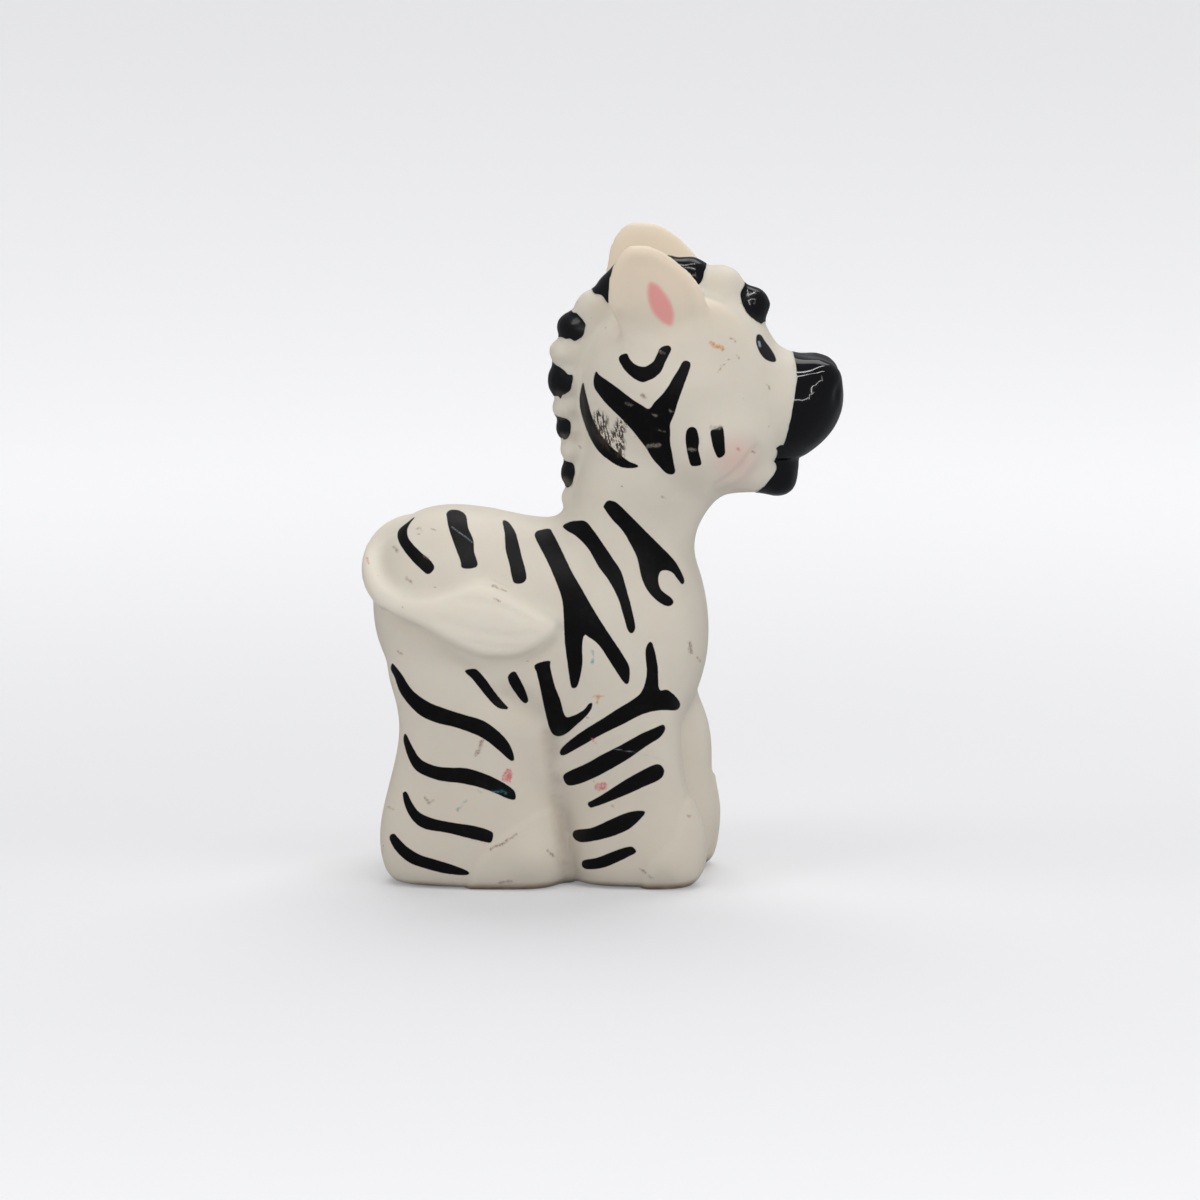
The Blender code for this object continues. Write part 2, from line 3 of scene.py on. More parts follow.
import bmesh
import bpy
import numpy as np
from mathutils import Matrix, Vector, noise
from mathutils.bvhtree import BVHTree


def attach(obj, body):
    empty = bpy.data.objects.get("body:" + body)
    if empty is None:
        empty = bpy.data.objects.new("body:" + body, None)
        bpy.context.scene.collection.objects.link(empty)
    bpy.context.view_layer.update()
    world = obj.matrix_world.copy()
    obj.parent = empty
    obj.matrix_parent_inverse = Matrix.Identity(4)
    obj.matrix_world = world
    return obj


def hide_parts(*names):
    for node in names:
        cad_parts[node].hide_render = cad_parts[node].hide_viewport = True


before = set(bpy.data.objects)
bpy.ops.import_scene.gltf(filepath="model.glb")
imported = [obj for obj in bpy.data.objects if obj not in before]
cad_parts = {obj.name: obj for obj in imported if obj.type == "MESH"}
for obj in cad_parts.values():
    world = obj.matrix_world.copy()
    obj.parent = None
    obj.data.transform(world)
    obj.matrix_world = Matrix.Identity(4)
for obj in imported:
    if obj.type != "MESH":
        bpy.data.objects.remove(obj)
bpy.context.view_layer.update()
mm = 0.001
xAxis, yAxis, zAxis = Vector((1, 0, 0)), Vector((0, 1, 0)), Vector((0, 0, 1))

bpy.context.scene.view_settings.view_transform = "Standard"

# view from which the photograph was taken
view = {
    "azimuth": 6.0,         # degrees towards the head, 0 looks square at the right flank
    "elevation": 8.0,
    "distance": 1000.0,
    "aim": (-0.34, 31.14),  # what lies in the middle of the picture, to the right and up
    "sensor": 36.0,
    "lens": 262.6,
    "picture": 1200.0,      # the picture's side in pixels
    "clip": (0.05, 20.0),   # metres
}


def viewAxes():
    a, e = math.radians(view["azimuth"]), math.radians(view["elevation"])
    right = Vector((math.cos(a), math.sin(a), 0))
    back = Vector((math.sin(a) * math.cos(e), -math.cos(a) * math.cos(e), math.sin(e)))
    return right, back.cross(right), back


def addCamera():
    axes = viewAxes()
    data = bpy.data.cameras.new("photoCamera")
    data.sensor_width = view["sensor"]
    data.lens = view["lens"]
    data.clip_start, data.clip_end = view["clip"]
    camera = bpy.data.objects.new("photoCamera", data)
    bpy.context.scene.collection.objects.link(camera)
    camera.matrix_world = Matrix(axes).transposed().to_4x4()
    camera.location = viewPoint() * mm
    bpy.context.scene.camera = camera


def viewPoint():
    right, up, back = viewAxes()
    return right * view["aim"][0] + up * view["aim"][1] + back * view["distance"]


addCamera()
print("stage: camera")


# pixels for a slope of 1, and half the picture
def pictureScale():
    return view["picture"] * view["lens"] / view["sensor"], view["picture"] / 2


# x and y in the picture's pixels for an array of places
def inPicture(points):
    right, up, back = (np.array(axis) for axis in viewAxes())
    away = points - np.array(viewPoint())
    depth = -away @ back
    pixels, half = pictureScale()
    return np.stack([half + pixels * (away @ right) / depth, half - pixels * (away @ up) / depth], 1)


# the line of sight through one pixel of the picture
def sightLine(x, y):
    right, up, back = viewAxes()
    pixels, half = pictureScale()
    return viewPoint(), (right * (x - half) / pixels + up * (half - y) / pixels - back).normalized()


# the head's own axes: forward, left and up from the middle of the skull
head = {
    "middle": (7.9, 0.0, 55.7),
    "turn": 7.7,            # degrees to the foal's left
}


def headFrame(turnShare=1.0):
    place = Matrix.Translation(Vector(head["middle"]))
    return place @ Matrix.Rotation(math.radians(head["turn"]) * turnShare, 4, "Z")


# an array of places, taken through a matrix
def transformed(points, matrix):
    matrix = np.array(matrix)
    return points @ matrix[:3, :3].T + matrix[:3, 3]


def vertexArrays(data):
    places = np.empty(len(data.vertices) * 3)
    data.vertices.foreach_get("co", places)
    normals = np.empty(len(data.vertices) * 3, np.float32)
    data.vertex_normals.foreach_get("vector", normals)
    return places.reshape(-1, 3), normals.reshape(-1, 3).astype(float)


# how fine the shapes are and how far they are smoothed
softness = {
    "ringSides": 40,
    "ballSteps": 5,
    "factor": 0.5,          # of each smoothing step
    "evenFactors": (0.5, -0.53),
    "evenRounds": 16,
    "formVoxel": 0.5,       # mesh size while trunk, legs and head melt together
    "formSmoothing": 60,
    "skinVoxel": 0.45,      # and once ears, mane and tail are added
    "skinSmoothing": 7,
    "sharpAngle": 45.0,     # steeper edges are shaded sharp
}


# shaping helpers
def objectFrom(mesh, name):
    data = bpy.data.meshes.new(name)
    mesh.to_mesh(data)
    mesh.free()
    item = bpy.data.objects.new(name, data)
    bpy.context.scene.collection.objects.link(item)
    return item


def meshOf(item):
    mesh = bmesh.new()
    mesh.from_mesh(item.data)
    return mesh


def putBack(mesh, item):
    mesh.to_mesh(item.data)
    mesh.free()


# the modifiers' shape becomes the mesh
def applied(item):
    graph = bpy.context.evaluated_depsgraph_get()
    data = bpy.data.meshes.new_from_object(item.evaluated_get(graph))
    item.modifiers.clear()
    old, item.data = item.data, data
    bpy.data.meshes.remove(old)
    return item


def removed(item):
    bpy.data.objects.remove(item)


# a ring that runs from an ellipse (2) towards a box, drawn in the place's X and Y
def circleRing(mesh, place, halfAcross, halfUp, squareness):
    made = bmesh.ops.create_circle(mesh, cap_ends=False, radius=1.0, segments=softness["ringSides"])
    for vert in made["verts"]:
        c, s = vert.co.x, vert.co.y
        vert.co.x = math.copysign(abs(c) ** (2 / squareness), c) * halfAcross
        vert.co.y = math.copysign(abs(s) ** (2 / squareness), s) * halfUp
    bmesh.ops.transform(mesh, matrix=place, verts=made["verts"])
    mesh.edges.index_update()
    edges = {e.index: e for v in made["verts"] for e in v.link_edges}
    return [edges[key] for key in sorted(edges)]


# a closed body through a row of (place, halfAcross, halfUp, squareness)
def loft(mesh, rings):
    loops = [circleRing(mesh, *ring) for ring in rings]
    for near, far in zip(loops, loops[1:]):
        bmesh.ops.bridge_loops(mesh, edges=near + far)
    bmesh.ops.holes_fill(mesh, edges=loops[0] + loops[-1], sides=0)


# a ball, or with a squareness above 2 a pillow
def ball(mesh, place, centre, radii, squareness=2.0):
    made = bmesh.ops.create_icosphere(mesh, subdivisions=softness["ballSteps"], radius=1.0)
    for vert in made["verts"]:
        vert.co /= sum(abs(v) ** squareness for v in vert.co) ** (1 / squareness)
    matrix = place @ Matrix.Translation(Vector(centre)) @ Matrix.Diagonal((*radii, 1.0))
    bmesh.ops.transform(mesh, matrix=matrix, verts=made["verts"])


# a place whose X and Y run along the two directions
def axesPlace(origin, across, up):
    across, up = across.normalized(), up.normalized()
    matrix = Matrix((across, up, across.cross(up))).transposed().to_4x4()
    return Matrix.Translation(origin) @ matrix


# overlapping masses become one soft closed skin
def melted(item, voxel, smoothing):
    melt = item.modifiers.new("melt", "REMESH")
    melt.mode = "VOXEL"
    melt.voxel_size = voxel
    soften = item.modifiers.new("soften", "SMOOTH")
    soften.factor = softness["factor"]
    soften.iterations = smoothing
    return applied(item)


# takes out the small unevenness that the melting leaves, and keeps the size
def evened(item, rounds):
    for i in range(rounds):
        for factor in softness["evenFactors"]:
            step = item.modifiers.new("even", "SMOOTH")
            step.factor = factor
            step.iterations = 1
    return applied(item)


def joined(items, name):
    mesh = bmesh.new()
    for item in items:
        mesh.from_mesh(item.data)
        removed(item)
    return objectFrom(mesh, name)


def carved(item, cutter, operation):
    step = item.modifiers.new("carve", "BOOLEAN")
    step.operation = operation
    step.object = cutter
    step.solver = "MANIFOLD"
    return applied(item)


# trunk and legs
trunk = {
    "squareness": 2.35,
    "rows": [               # x, underside, top, width, from rump to chest
        (-26.05, 28.40, 34.34, 6.55), (-25.50, 26.60, 36.42, 11.79), (-24.52, 24.49, 38.60, 17.29),
        (-23.15, 22.58, 40.35, 20.96), (-21.39, 20.45, 41.40, 23.32), (-19.44, 17.89, 42.05, 24.89),
        (-16.46, 14.91, 42.15, 26.20), (-13.37, 14.91, 41.85, 26.20), (-10.93, 14.91, 41.30, 25.68),
        (-8.52, 14.91, 40.85, 25.15), (-6.11, 14.91, 40.65, 24.89), (-0.34, 14.91, 40.50, 25.41),
        (4.24, 15.34, 40.13, 24.89), (7.72, 16.61, 38.98, 23.06), (10.01, 19.34, 37.02, 19.39),
        (11.15, 22.24, 33.78, 14.67), (11.84, 25.09, 30.08, 8.38),
    ],
}
legs = {
    "squareness": 2.8,
    "inner": 0.6,           # half the parting between left and right
    "hind": [               # height, rear, front, outer side
        (0.00, -23.45, -4.24, 12.97), (1.20, -24.14, -3.44, 13.66), (3.60, -24.72, -3.21, 13.80),
        (5.52, -24.84, -3.44, 13.80), (8.40, -24.40, -4.24, 13.39), (11.52, -23.60, -5.04, 13.11),
        (14.40, -22.85, -5.39, 12.97), (17.28, -22.40, -5.50, 12.97), (20.16, -22.65, -5.62, 13.11),
        (24.00, -23.95, -6.19, 13.11), (27.60, -23.45, -7.14, 12.83), (31.20, -22.42, -8.29, 11.87),
    ],
    "frontRight": [
        (0.00, -2.52, 10.73, 10.95), (1.20, -2.98, 11.99, 11.66), (3.60, -3.21, 12.34, 11.90),
        (4.80, -3.21, 12.34, 11.90), (7.20, -3.09, 11.77, 11.90), (9.12, -2.98, 10.73, 11.66),
        (10.80, -3.09, 10.16, 11.66), (13.92, -3.55, 9.70, 11.90), (17.28, -4.01, 9.47, 12.26),
        (19.92, -4.24, 9.59, 12.50), (24.00, -4.47, 9.66, 12.61), (27.60, -4.09, 9.28, 12.38),
        (31.20, -3.32, 8.14, 11.42),
    ],
    "frontLeft": [
        (0.00, -2.52, 11.00, 10.95), (1.20, -2.98, 12.07, 11.66), (3.84, -3.21, 12.45, 11.90),
        (6.24, -3.21, 12.68, 11.90), (8.88, -3.09, 12.35, 11.66), (10.08, -2.98, 11.80, 11.66),
        (12.48, -3.32, 11.99, 11.78), (15.12, -3.71, 11.90, 12.02), (18.00, -4.09, 11.10, 12.26),
        (20.40, -4.24, 9.86, 12.50), (24.00, -4.47, 9.66, 12.61), (27.60, -4.09, 9.28, 12.38),
        (31.20, -3.32, 8.14, 11.42),
    ],
    "hindHoof": ((-7.14, 7.20, 3.60), (4.01, 7.10, 4.56)),
    "frontHoof": ((8.33, 6.25, 3.12), (4.01, 6.15, 3.84)),
    "webSquareness": 3.2,
    "web": [                # height, rear, front, width
        (0.00, -21.28, 9.28, 13.02), (4.80, -21.28, 9.28, 15.12), (9.60, -20.90, 8.90, 19.32),
        (14.40, -20.70, 8.52, 22.68), (19.20, -20.51, 8.33, 24.36), (24.00, -20.13, 8.14, 25.20),
    ],
}
neck = {
    "squareness": 2.1,
    "rows": [               # height, rear, front, width
        (31.48, -7.92, 10.80, 22.57), (36.08, -6.58, 10.35, 20.72), (38.38, -5.81, 10.35, 19.24),
        (39.88, -5.28, 10.75, 18.50), (41.28, -4.66, 11.50, 18.13), (42.43, -4.20, 12.35, 18.50),
        (44.17, -3.41, 13.69, 19.61), (46.48, -2.90, 14.26, 20.35), (49.41, -2.18, 13.49, 19.24),
        (52.82, -0.66, 11.95, 15.54),
    ],
}
headMasses = {              # forward, side, up, the radii, then slope and squareness
    "skull": ((0.0, 0.0, 0.0), (11.0, 12.25, 11.85)),
    "face": ((5.28, 0.0, 0.2), (7.05, 10.0, 11.1)),
    "jaw": ((7.59, 0.0, -8.2), (4.95, 6.25, 3.74)),
    "bridge": ((11.0, 0.0, -0.3), (5.3, 6.88, 5.1)),
    "muzzle": ((13.14, 0.0, -2.29), (7.12, 7.55, 5.5), 39, 2.0),
    "chin": ((12.15, 0.0, -10.22), (2.35, 4.4, 2.2), 0, 2.4),
    "lip": ((11.0, 0.0, -8.5), (1.75, 3.7, 1.9), 0, 2.4),
    "flares": ((16.3, 3.5, 1.5), (3.3, 2.9, 2.6)),     # beside the nostrils
    "cheeks": ((3.3, 6.0, -4.74), (6.82, 6.12, 6.4)),
    "temples": ((2.2, 6.1, 6.0), (5.6, 3.7, 5.6)),
}


def levelRing(height, rear, front, low, high, squareness):
    place = axesPlace(Vector(((rear + front) / 2, (low + high) / 2, height)), xAxis, yAxis)
    return place, (front - rear) / 2, (high - low) / 2, squareness


def addTrunk(mesh):
    rings = []
    for x, low, top, width in trunk["rows"]:
        place = axesPlace(Vector((x, 0, (low + top) / 2)), yAxis, zAxis)
        rings.append((place, width / 2, (top - low) / 2, trunk["squareness"]))
    loft(mesh, rings)


def addLeg(mesh, rows, side):
    rings = []
    for height, rear, front, outer in rows:
        low, high = sorted((side * legs["inner"], side * outer))
        rings.append(levelRing(height, rear, front, low, high, legs["squareness"]))
    loft(mesh, rings)


def addColumn(mesh, rows, squareness):
    loft(mesh, [levelRing(h, a, b, -w / 2, w / 2, squareness) for h, a, b, w in rows])


def buildForm():
    mesh = bmesh.new()
    addTrunk(mesh)
    for side in (-1, 1):
        addLeg(mesh, legs["hind"], side)
        addLeg(mesh, legs["frontRight"] if side < 0 else legs["frontLeft"], side)
        for hoof in ("hindHoof", "frontHoof"):
            (x, y, z), radii = legs[hoof]
            ball(mesh, Matrix(), (x, side * y, z), radii)
    addColumn(mesh, legs["web"], legs["webSquareness"])
    addColumn(mesh, neck["rows"], neck["squareness"])
    for name, ((forward, out, up), radii, *rest) in headMasses.items():
        slope, squareness = rest or (0, 2.0)
        for side in ((-1, 1) if out else (1,)):
            place = headFrame() @ Matrix.Translation((forward, side * out, up))
            place @= Matrix.Rotation(math.radians(-slope), 4, "Y")
            ball(mesh, place, (0, 0, 0), radii, squareness)
    form = objectFrom(mesh, "form")
    return melted(form, softness["formVoxel"], softness["formSmoothing"])


# ears
ears = {
    "places": {-1: (-1.61, 7.8, 6.26), 1: (-1.45, 7.8, 6.95)},   # forward, out, up: right, left
    "tips": {-1: (-0.62, 0.0), 1: (0.15, 0.35)},   # how far the tip leans on, and is fuller
    "lean": 11.0,
    "squareness": 2.2,
    "rootMiddle": (1.2, 2.0, 0.2),   # where the outer face runs into the head
    "rootReach": (9.0, 3.4, 4.0),
    "rootFade": 1.6,
    "rootSmoothing": 180,
    "rows": [               # rise, rear, front, thickness
        (0.00, -4.20, 2.60, 1.90), (1.06, -5.00, 3.90, 2.40), (2.87, -5.70, 5.40, 2.95),
        (4.20, -5.82, 5.55, 3.05), (5.64, -5.75, 5.20, 2.95), (7.10, -5.55, 4.50, 2.80),
        (8.40, -5.20, 3.35, 2.60), (9.70, -4.65, 1.95, 2.30), (10.60, -3.95, 0.60, 2.00),
        (11.20, -3.20, -0.80, 1.50),
    ],
}


# extra smoothing where a weight between 0 and 1 is given for each vertex
def softenWhere(item, weights, iterations):
    group = item.vertex_groups.new(name="soft")
    for share in np.unique(np.round(weights, 1)):
        if share > 0:
            group.add(np.flatnonzero(np.round(weights, 1) == share).tolist(), float(share), "REPLACE")
    soften = item.modifiers.new("soften", "SMOOTH")
    soften.factor = softness["factor"]
    soften.iterations = iterations
    soften.vertex_group = group.name
    applied(item)
    item.vertex_groups.clear()


def softenEarRoots(item):
    places, _ = vertexArrays(item.data)
    weights = np.zeros(len(places))
    middle, reach, fade = np.array(ears["rootMiddle"]), np.array(ears["rootReach"]), ears["rootFade"]
    for side in (-1, 1):
        local = transformed(places, earFrame(side).inverted())
        local[:, 1] *= side
        away = np.abs((local - middle) / reach).max(1)
        weights = np.maximum(weights, np.clip(fade - away * fade, 0, 1))
    softenWhere(item, weights, ears["rootSmoothing"])


def earFrame(side):
    forward, out, up = ears["places"][side]
    lean = Matrix.Rotation(math.radians(-side * ears["lean"]), 4, "X")
    return headFrame() @ Matrix.Translation((forward, side * out, up)) @ lean


def buildEar(side):
    mesh = bmesh.new()
    rings = []
    shift, fuller = ears["tips"][side]
    tipRise = ears["rows"][-1][0]
    for rise, rear, front, thickness in ears["rows"]:
        share = rise / tipRise
        rear, front = rear + (shift - fuller) * share, front + (shift + fuller) * share
        place = axesPlace(Vector(((rear + front) / 2, 0, rise)), xAxis, yAxis)
        rings.append((place, (front - rear) / 2, thickness / 2, ears["squareness"]))
    loft(mesh, rings)
    bmesh.ops.transform(mesh, matrix=earFrame(side), verts=mesh.verts)
    return objectFrom(mesh, "ear")


# mane: lobes that stand in a row from the withers over the crown
mane = {
    "halfWidth": 2.85,
    "squareness": 2.4,
    "smoothing": 14,        # more of it on the front lobes, whose gloss shows every unevenness
    "softFrom": -1.5,       # which lie forward of this, above that and this near the middle
    "softAbove": 6.5,
    "softWithin": 5.5,
    "softOver": 1.5,
    "lobes": [              # forward, up, half length, half depth, slope, share of the head's turn
        (-10.09, -12.46, 1.41, 2.60, 90, 0.05),
        (-10.09, -9.66, 1.74, 2.60, 90, 0.20),
        (-10.21, -6.77, 1.35, 2.60, 95, 0.40),
        (-10.65, -4.32, 1.44, 2.60, 95, 0.60),
        (-11.11, -1.90, 1.26, 2.60, 97, 0.80),
        (-11.52, 1.07, 2.18, 2.60, 93, 0.95),
        (-11.38, 4.25, 1.54, 2.60, 85, 1.00),
        (-10.68, 6.68, 1.72, 2.50, 60, 1.00),
        (-8.57, 8.85, 2.24, 2.60, 50, 1.00),
        (-6.23, 11.10, 2.07, 2.40, 42, 1.00),
        (-5.27, 12.06, 1.43, 2.60, 20, 1.00),
        (-3.08, 12.73, 1.43, 2.60, 7, 1.00),
        (-0.60, 12.74, 1.53, 2.60, -1, 1.00),
        (1.94, 12.60, 2.18, 2.47, -4, 1.00),
        (5.49, 11.45, 2.47, 2.70, -14, 1.00),
        (8.86, 9.48, 2.01, 2.22, -49, 1.00),
    ],
    "crestWidth": 5.0,      # the band below the lobes
    "crestDepth": 6.0,
    "crest": [              # forward, up, share of the head's turn
        (-11.66, -13.72, 0.0), (-11.66, -11.21, 0.1), (-11.66, -8.11, 0.3), (-11.88, -5.71, 0.5),
        (-12.10, -3.15, 0.7), (-12.36, -0.92, 0.9), (-12.56, 2.96, 1.0), (-12.2, 5.71, 1.0),
        (-10.8, 8.7, 1.0), (-8.9, 10.8, 1.0), (-6.8, 12.3, 1.0), (-4.4, 13.2, 1.0),
        (-1.94, 13.4, 1.0), (0.8, 13.1, 1.0), (3.7, 12.2, 1.0), (7.4, 9.9, 1.0), (9.4, 7.8, 1.0),
    ],
}


def buildLobes():
    mesh = bmesh.new()
    for forward, up, along, deep, slope, turn in mane["lobes"]:
        place = headFrame(turn) @ Matrix.Translation((forward, 0, up))
        place @= Matrix.Rotation(math.radians(-slope), 4, "Y")
        ball(mesh, place, (0, 0, 0), (along, mane["halfWidth"], deep), mane["squareness"])
    points = [headFrame(turn) @ Vector((forward, 0, up)) for forward, up, turn in mane["crest"]]
    rings = []
    for i, point in enumerate(points):
        run = (points[min(i + 1, len(points) - 1)] - points[max(i - 1, 0)]).normalized()
        out = run.cross(yAxis).normalized()
        place = axesPlace(point - out * mane["crestDepth"] / 2, out.cross(run), out)
        rings.append((place, mane["crestWidth"] / 2, mane["crestDepth"] / 2, mane["squareness"]))
    loft(mesh, rings)
    return objectFrom(mesh, "lobes")


def softenForelock(item):
    places, _ = vertexArrays(item.data)
    local = transformed(places, headFrame().inverted())
    over = mane["softOver"]
    front = np.clip((local[:, 0] - mane["softFrom"]) / over, 0, 1)
    top = np.clip((local[:, 2] - mane["softAbove"]) / over, 0, 1)
    inner = np.clip((mane["softWithin"] - np.abs(local[:, 1])) / over, 0, 1)
    softenWhere(item, front * top * inner, mane["smoothing"])


# tail: from the rump round to the right flank
tail = {
    "squareness": 2.2,
    "core": ((-16.69, 29.82), (6.23, 29.82)),      # the tail is laid on the skin seen from here
    "castFrom": 30.0,
    "steps": 3,             # rings for each row
    "rows": [               # x, up, out to the right, width, thickness
        (-22.42, 40.75, 0.00, 2.40, 0.80), (-24.94, 39.41, 2.10, 2.90, 3.10),
        (-26.24, 37.27, 4.72, 3.00, 4.10), (-25.86, 35.14, 8.12, 3.10, 4.20),
        (-23.99, 33.19, 11.27, 3.13, 3.90), (-21.51, 32.38, 12.97, 3.45, 3.70),
        (-18.91, 31.95, 13.49, 4.63, 3.65), (-16.16, 31.25, 13.62, 7.20, 3.60),
        (-13.06, 30.80, 13.62, 9.70, 3.45), (-9.86, 30.15, 13.36, 8.70, 3.10),
        (-6.95, 29.83, 13.10, 5.90, 2.60), (-3.90, 30.40, 12.84, 2.50, 1.60),
    ],
}


def surfaceOf(item):
    return BVHTree.FromPolygons(
        [v.co for v in item.data.vertices], [p.vertices for p in item.data.polygons]
    )


def buildTail(form):
    surface = surfaceOf(form)
    core = [Vector((x, 0, z)) for x, z in tail["core"]]
    rows = rounded(tail["rows"], tail["steps"], closed=False)
    middles, outward = [], []
    for x, up, out, _, _ in rows:
        point = Vector((x, -out, up))
        share = (point - core[0]).dot(core[1] - core[0]) / (core[1] - core[0]).length_squared
        way = (point - core[0].lerp(core[1], max(0.0, share))).normalized()
        middles.append(surface.ray_cast(point + way * tail["castFrom"], -way)[0])
        outward.append(way)
    rings = []
    for i, (_, _, _, width, thickness) in enumerate(rows):
        run = middles[min(i + 1, len(middles) - 1)] - middles[max(i - 1, 0)]
        across = run.cross(outward[i]).normalized()
        place = axesPlace(middles[i], across, across.cross(run))
        rings.append((place, width / 2, thickness / 2, tail["squareness"]))
    mesh = bmesh.new()
    loft(mesh, rings)
    return objectFrom(mesh, "tail")


# relief lines and swellings, placed by the picture and mirrored to the left side
reliefs = {
    "lineFacing": 0.05,     # only where the skin faces the view by more than this share
    "lineReach": 4,         # how far a line acts, in widths
    "swellFacing": 0.02,
    "swellSpan": 40,        # height over which a swelling acts
    "lines": [              # points, depth (negative presses in), width in pixels, head or body
        ([(757, 449), (749, 459), (741, 469), (728, 480), (714, 489)], -0.42, 4.5, "head"),
        ([(579, 366), (577, 400), (577, 440), (576, 475), (574, 500)], -0.12, 4.0, "head"),
        ([(554, 740), (559, 790), (564, 835), (567, 866)], -0.36, 8.0, "body"),
    ],
    "rightLines": [         # the tail's edges, the belly's tuck and the tail's strands, right flank only
        ([
            (384, 613), (398, 623), (412, 628), (424, 633), (441, 643), (455, 651), (470, 657),
            (484, 661), (498, 662), (520, 660), (537, 653), (553, 641), (562, 628),
        ], -0.38, 4.5, "body"),
        ([
            (400, 597), (414, 598), (428, 598), (443, 594), (461, 587), (478, 583), (496, 587),
            (510, 594), (525, 604), (542, 613),
        ], -0.16, 4.0, "body"),
        ([(500, 698), (528, 711), (548, 728), (556, 750)], -0.8, 15.0, "body"),
        ([(440, 618), (462, 627), (486, 634), (512, 637), (534, 634)], -0.17, 2.8, "body"),
        ([(462, 600), (486, 603), (508, 610), (530, 621)], -0.15, 2.8, "body"),
        ([(470, 642), (492, 647), (514, 647)], -0.13, 2.4, "body"),
    ],
    "swells": [             # outline, height, softness of the edge, head or body, height from, out
        ([
            (473, 876), (488, 852), (510, 832), (534, 816), (552, 809), (562, 815), (567, 850),
            (567, 905), (470, 905),
        ], 0.32, 3.0, "body", 0, 0),
        ([(647, 876), (660, 856), (674, 838), (688, 801), (700, 794), (735, 780), (735, 900), (650, 900)],
         0.36, 3.0, "body", 0, 0),
        ([  # the ear's hollow
            (618, 296), (621, 276), (628, 262), (641, 257), (655, 260), (672, 269), (686, 283),
            (694, 300), (694, 318), (683, 332), (664, 340), (640, 338), (624, 326), (618, 312),
        ], -0.38, 9.0, "head", 40, 7.0),
    ],
}


# the same places, with those on the left side mirrored to the right
def mirroredRight(points, part):
    points = points.copy()
    if part == "body":
        points[:, 1] = -np.abs(points[:, 1])
        return points
    local = transformed(points, headFrame().inverted())
    local[:, 1] = -np.abs(local[:, 1])
    return transformed(local, headFrame())


# distance in pixels from each place in the picture to an open or closed line
def lineDistance(spots, line, closed=False):
    line = np.array(line, float)
    ends = np.roll(line, -1, axis=0) if closed else line[1:]
    starts = line if closed else line[:-1]
    best = np.full(len(spots), 1e9)
    for a, b in zip(starts, ends):
        run = b - a
        share = np.clip(((spots - a) @ run) / max(run @ run, 1e-9), 0, 1)
        best = np.minimum(best, np.hypot(*(spots - a - share[:, None] * run).T))
    return best


def insideOf(spots, outline):
    outline = np.array(outline, float)
    inside = np.zeros(len(spots), bool)
    for (ax, ay), (bx, by) in zip(outline, np.roll(outline, -1, axis=0)):
        crosses = (ay > spots[:, 1]) != (by > spots[:, 1])
        if ay != by:
            meet = (bx - ax) * (spots[:, 1] - ay) / (by - ay) + ax
            inside ^= crosses & (spots[:, 0] < meet)
    return inside


# a smooth closed line through the given points
def rounded(points, steps=5, closed=True):
    points = [Vector(p) for p in points]
    count = len(points)
    smooth = []
    for i in range(count if closed else count - 1):
        if closed:
            a, b, c, d = (points[(i + k) % count] for k in (-1, 0, 1, 2))
        else:
            a, b, c, d = (points[min(max(i + k, 0), count - 1)] for k in (-1, 0, 1, 2))
        for step in range(steps):
            t = step / steps
            smooth.append(tuple(0.5 * (
                2 * b + (c - a) * t + (2 * a - 5 * b + 4 * c - d) * t ** 2
                + (3 * b - a - 3 * c + d) * t ** 3
            )))
    return smooth if closed else smooth + [tuple(points[-1])]


# spots in the picture, and how squarely each place faces the view; the left side counts as mirrored
def seenFrom(places, normals, part):
    spots = inPicture(mirroredRight(places, part))
    turned = normals.copy()
    left = places[:, 1] > 0
    turned[left, 1] *= -1
    return spots, turned @ np.array(viewAxes()[2])


# distance in pixels to a closed line, negative inside
def signedDistance(spots, line):
    away = lineDistance(spots, line, closed=True)
    away[insideOf(spots, line)] *= -1
    return away


def pushedOut(item, places, normals, shift):
    item.data.vertices.foreach_set("co", (places + normals * shift[:, None]).ravel())
    item.data.update()


def pressRelief(item):
    places, normals = vertexArrays(item.data)
    shift = np.zeros(len(places))
    for group, bothSides in (("lines", True), ("rightLines", False)):
        for line, depth, width, part in reliefs[group]:
            spots, facing = seenFrom(places, normals, part)
            away = lineDistance(spots, rounded(line, closed=False))
            near = (facing > reliefs["lineFacing"]) & (away < width * reliefs["lineReach"])
            if not bothSides:
                near &= places[:, 1] < 0
            shift[near] += (depth * np.exp(-(away / width) ** 2))[near]
    for outline, height, soft, part, low, out in reliefs["swells"]:
        spots, facing = seenFrom(places, normals, part)
        near = (facing > reliefs["swellFacing"]) & (np.abs(places[:, 1]) > out)
        near &= (places[:, 2] >= low) & (places[:, 2] < low + reliefs["swellSpan"])
        share = np.clip(0.5 - signedDistance(spots[near], rounded(outline)) / soft / 2, 0, 1)
        shift[near] += height * share * share * (3 - 2 * share)
    pushedOut(item, places, normals, shift)


# muzzle: smoothed once more, with nostrils and a mouth line, in the head's axes
snout = {
    "smoothing": 16,
    "softFrom": 11.5,       # forward of this
    "softOver": 1.5,
    "nostril": ((18.0, 4.3, 0.3), (0.8, 0.8, 1.2), -0.55),   # middle, reach, depth
    "mouth": (-8.03, 10.4, 0.8, -0.32, 0.42),     # height, from where on, fading in over, depth, width
}


def softenMuzzle(item):
    places, _ = vertexArrays(item.data)
    local = transformed(places, headFrame().inverted())
    weights = np.clip((local[:, 0] - snout["softFrom"]) / snout["softOver"], 0, 1)
    softenWhere(item, weights, snout["smoothing"])


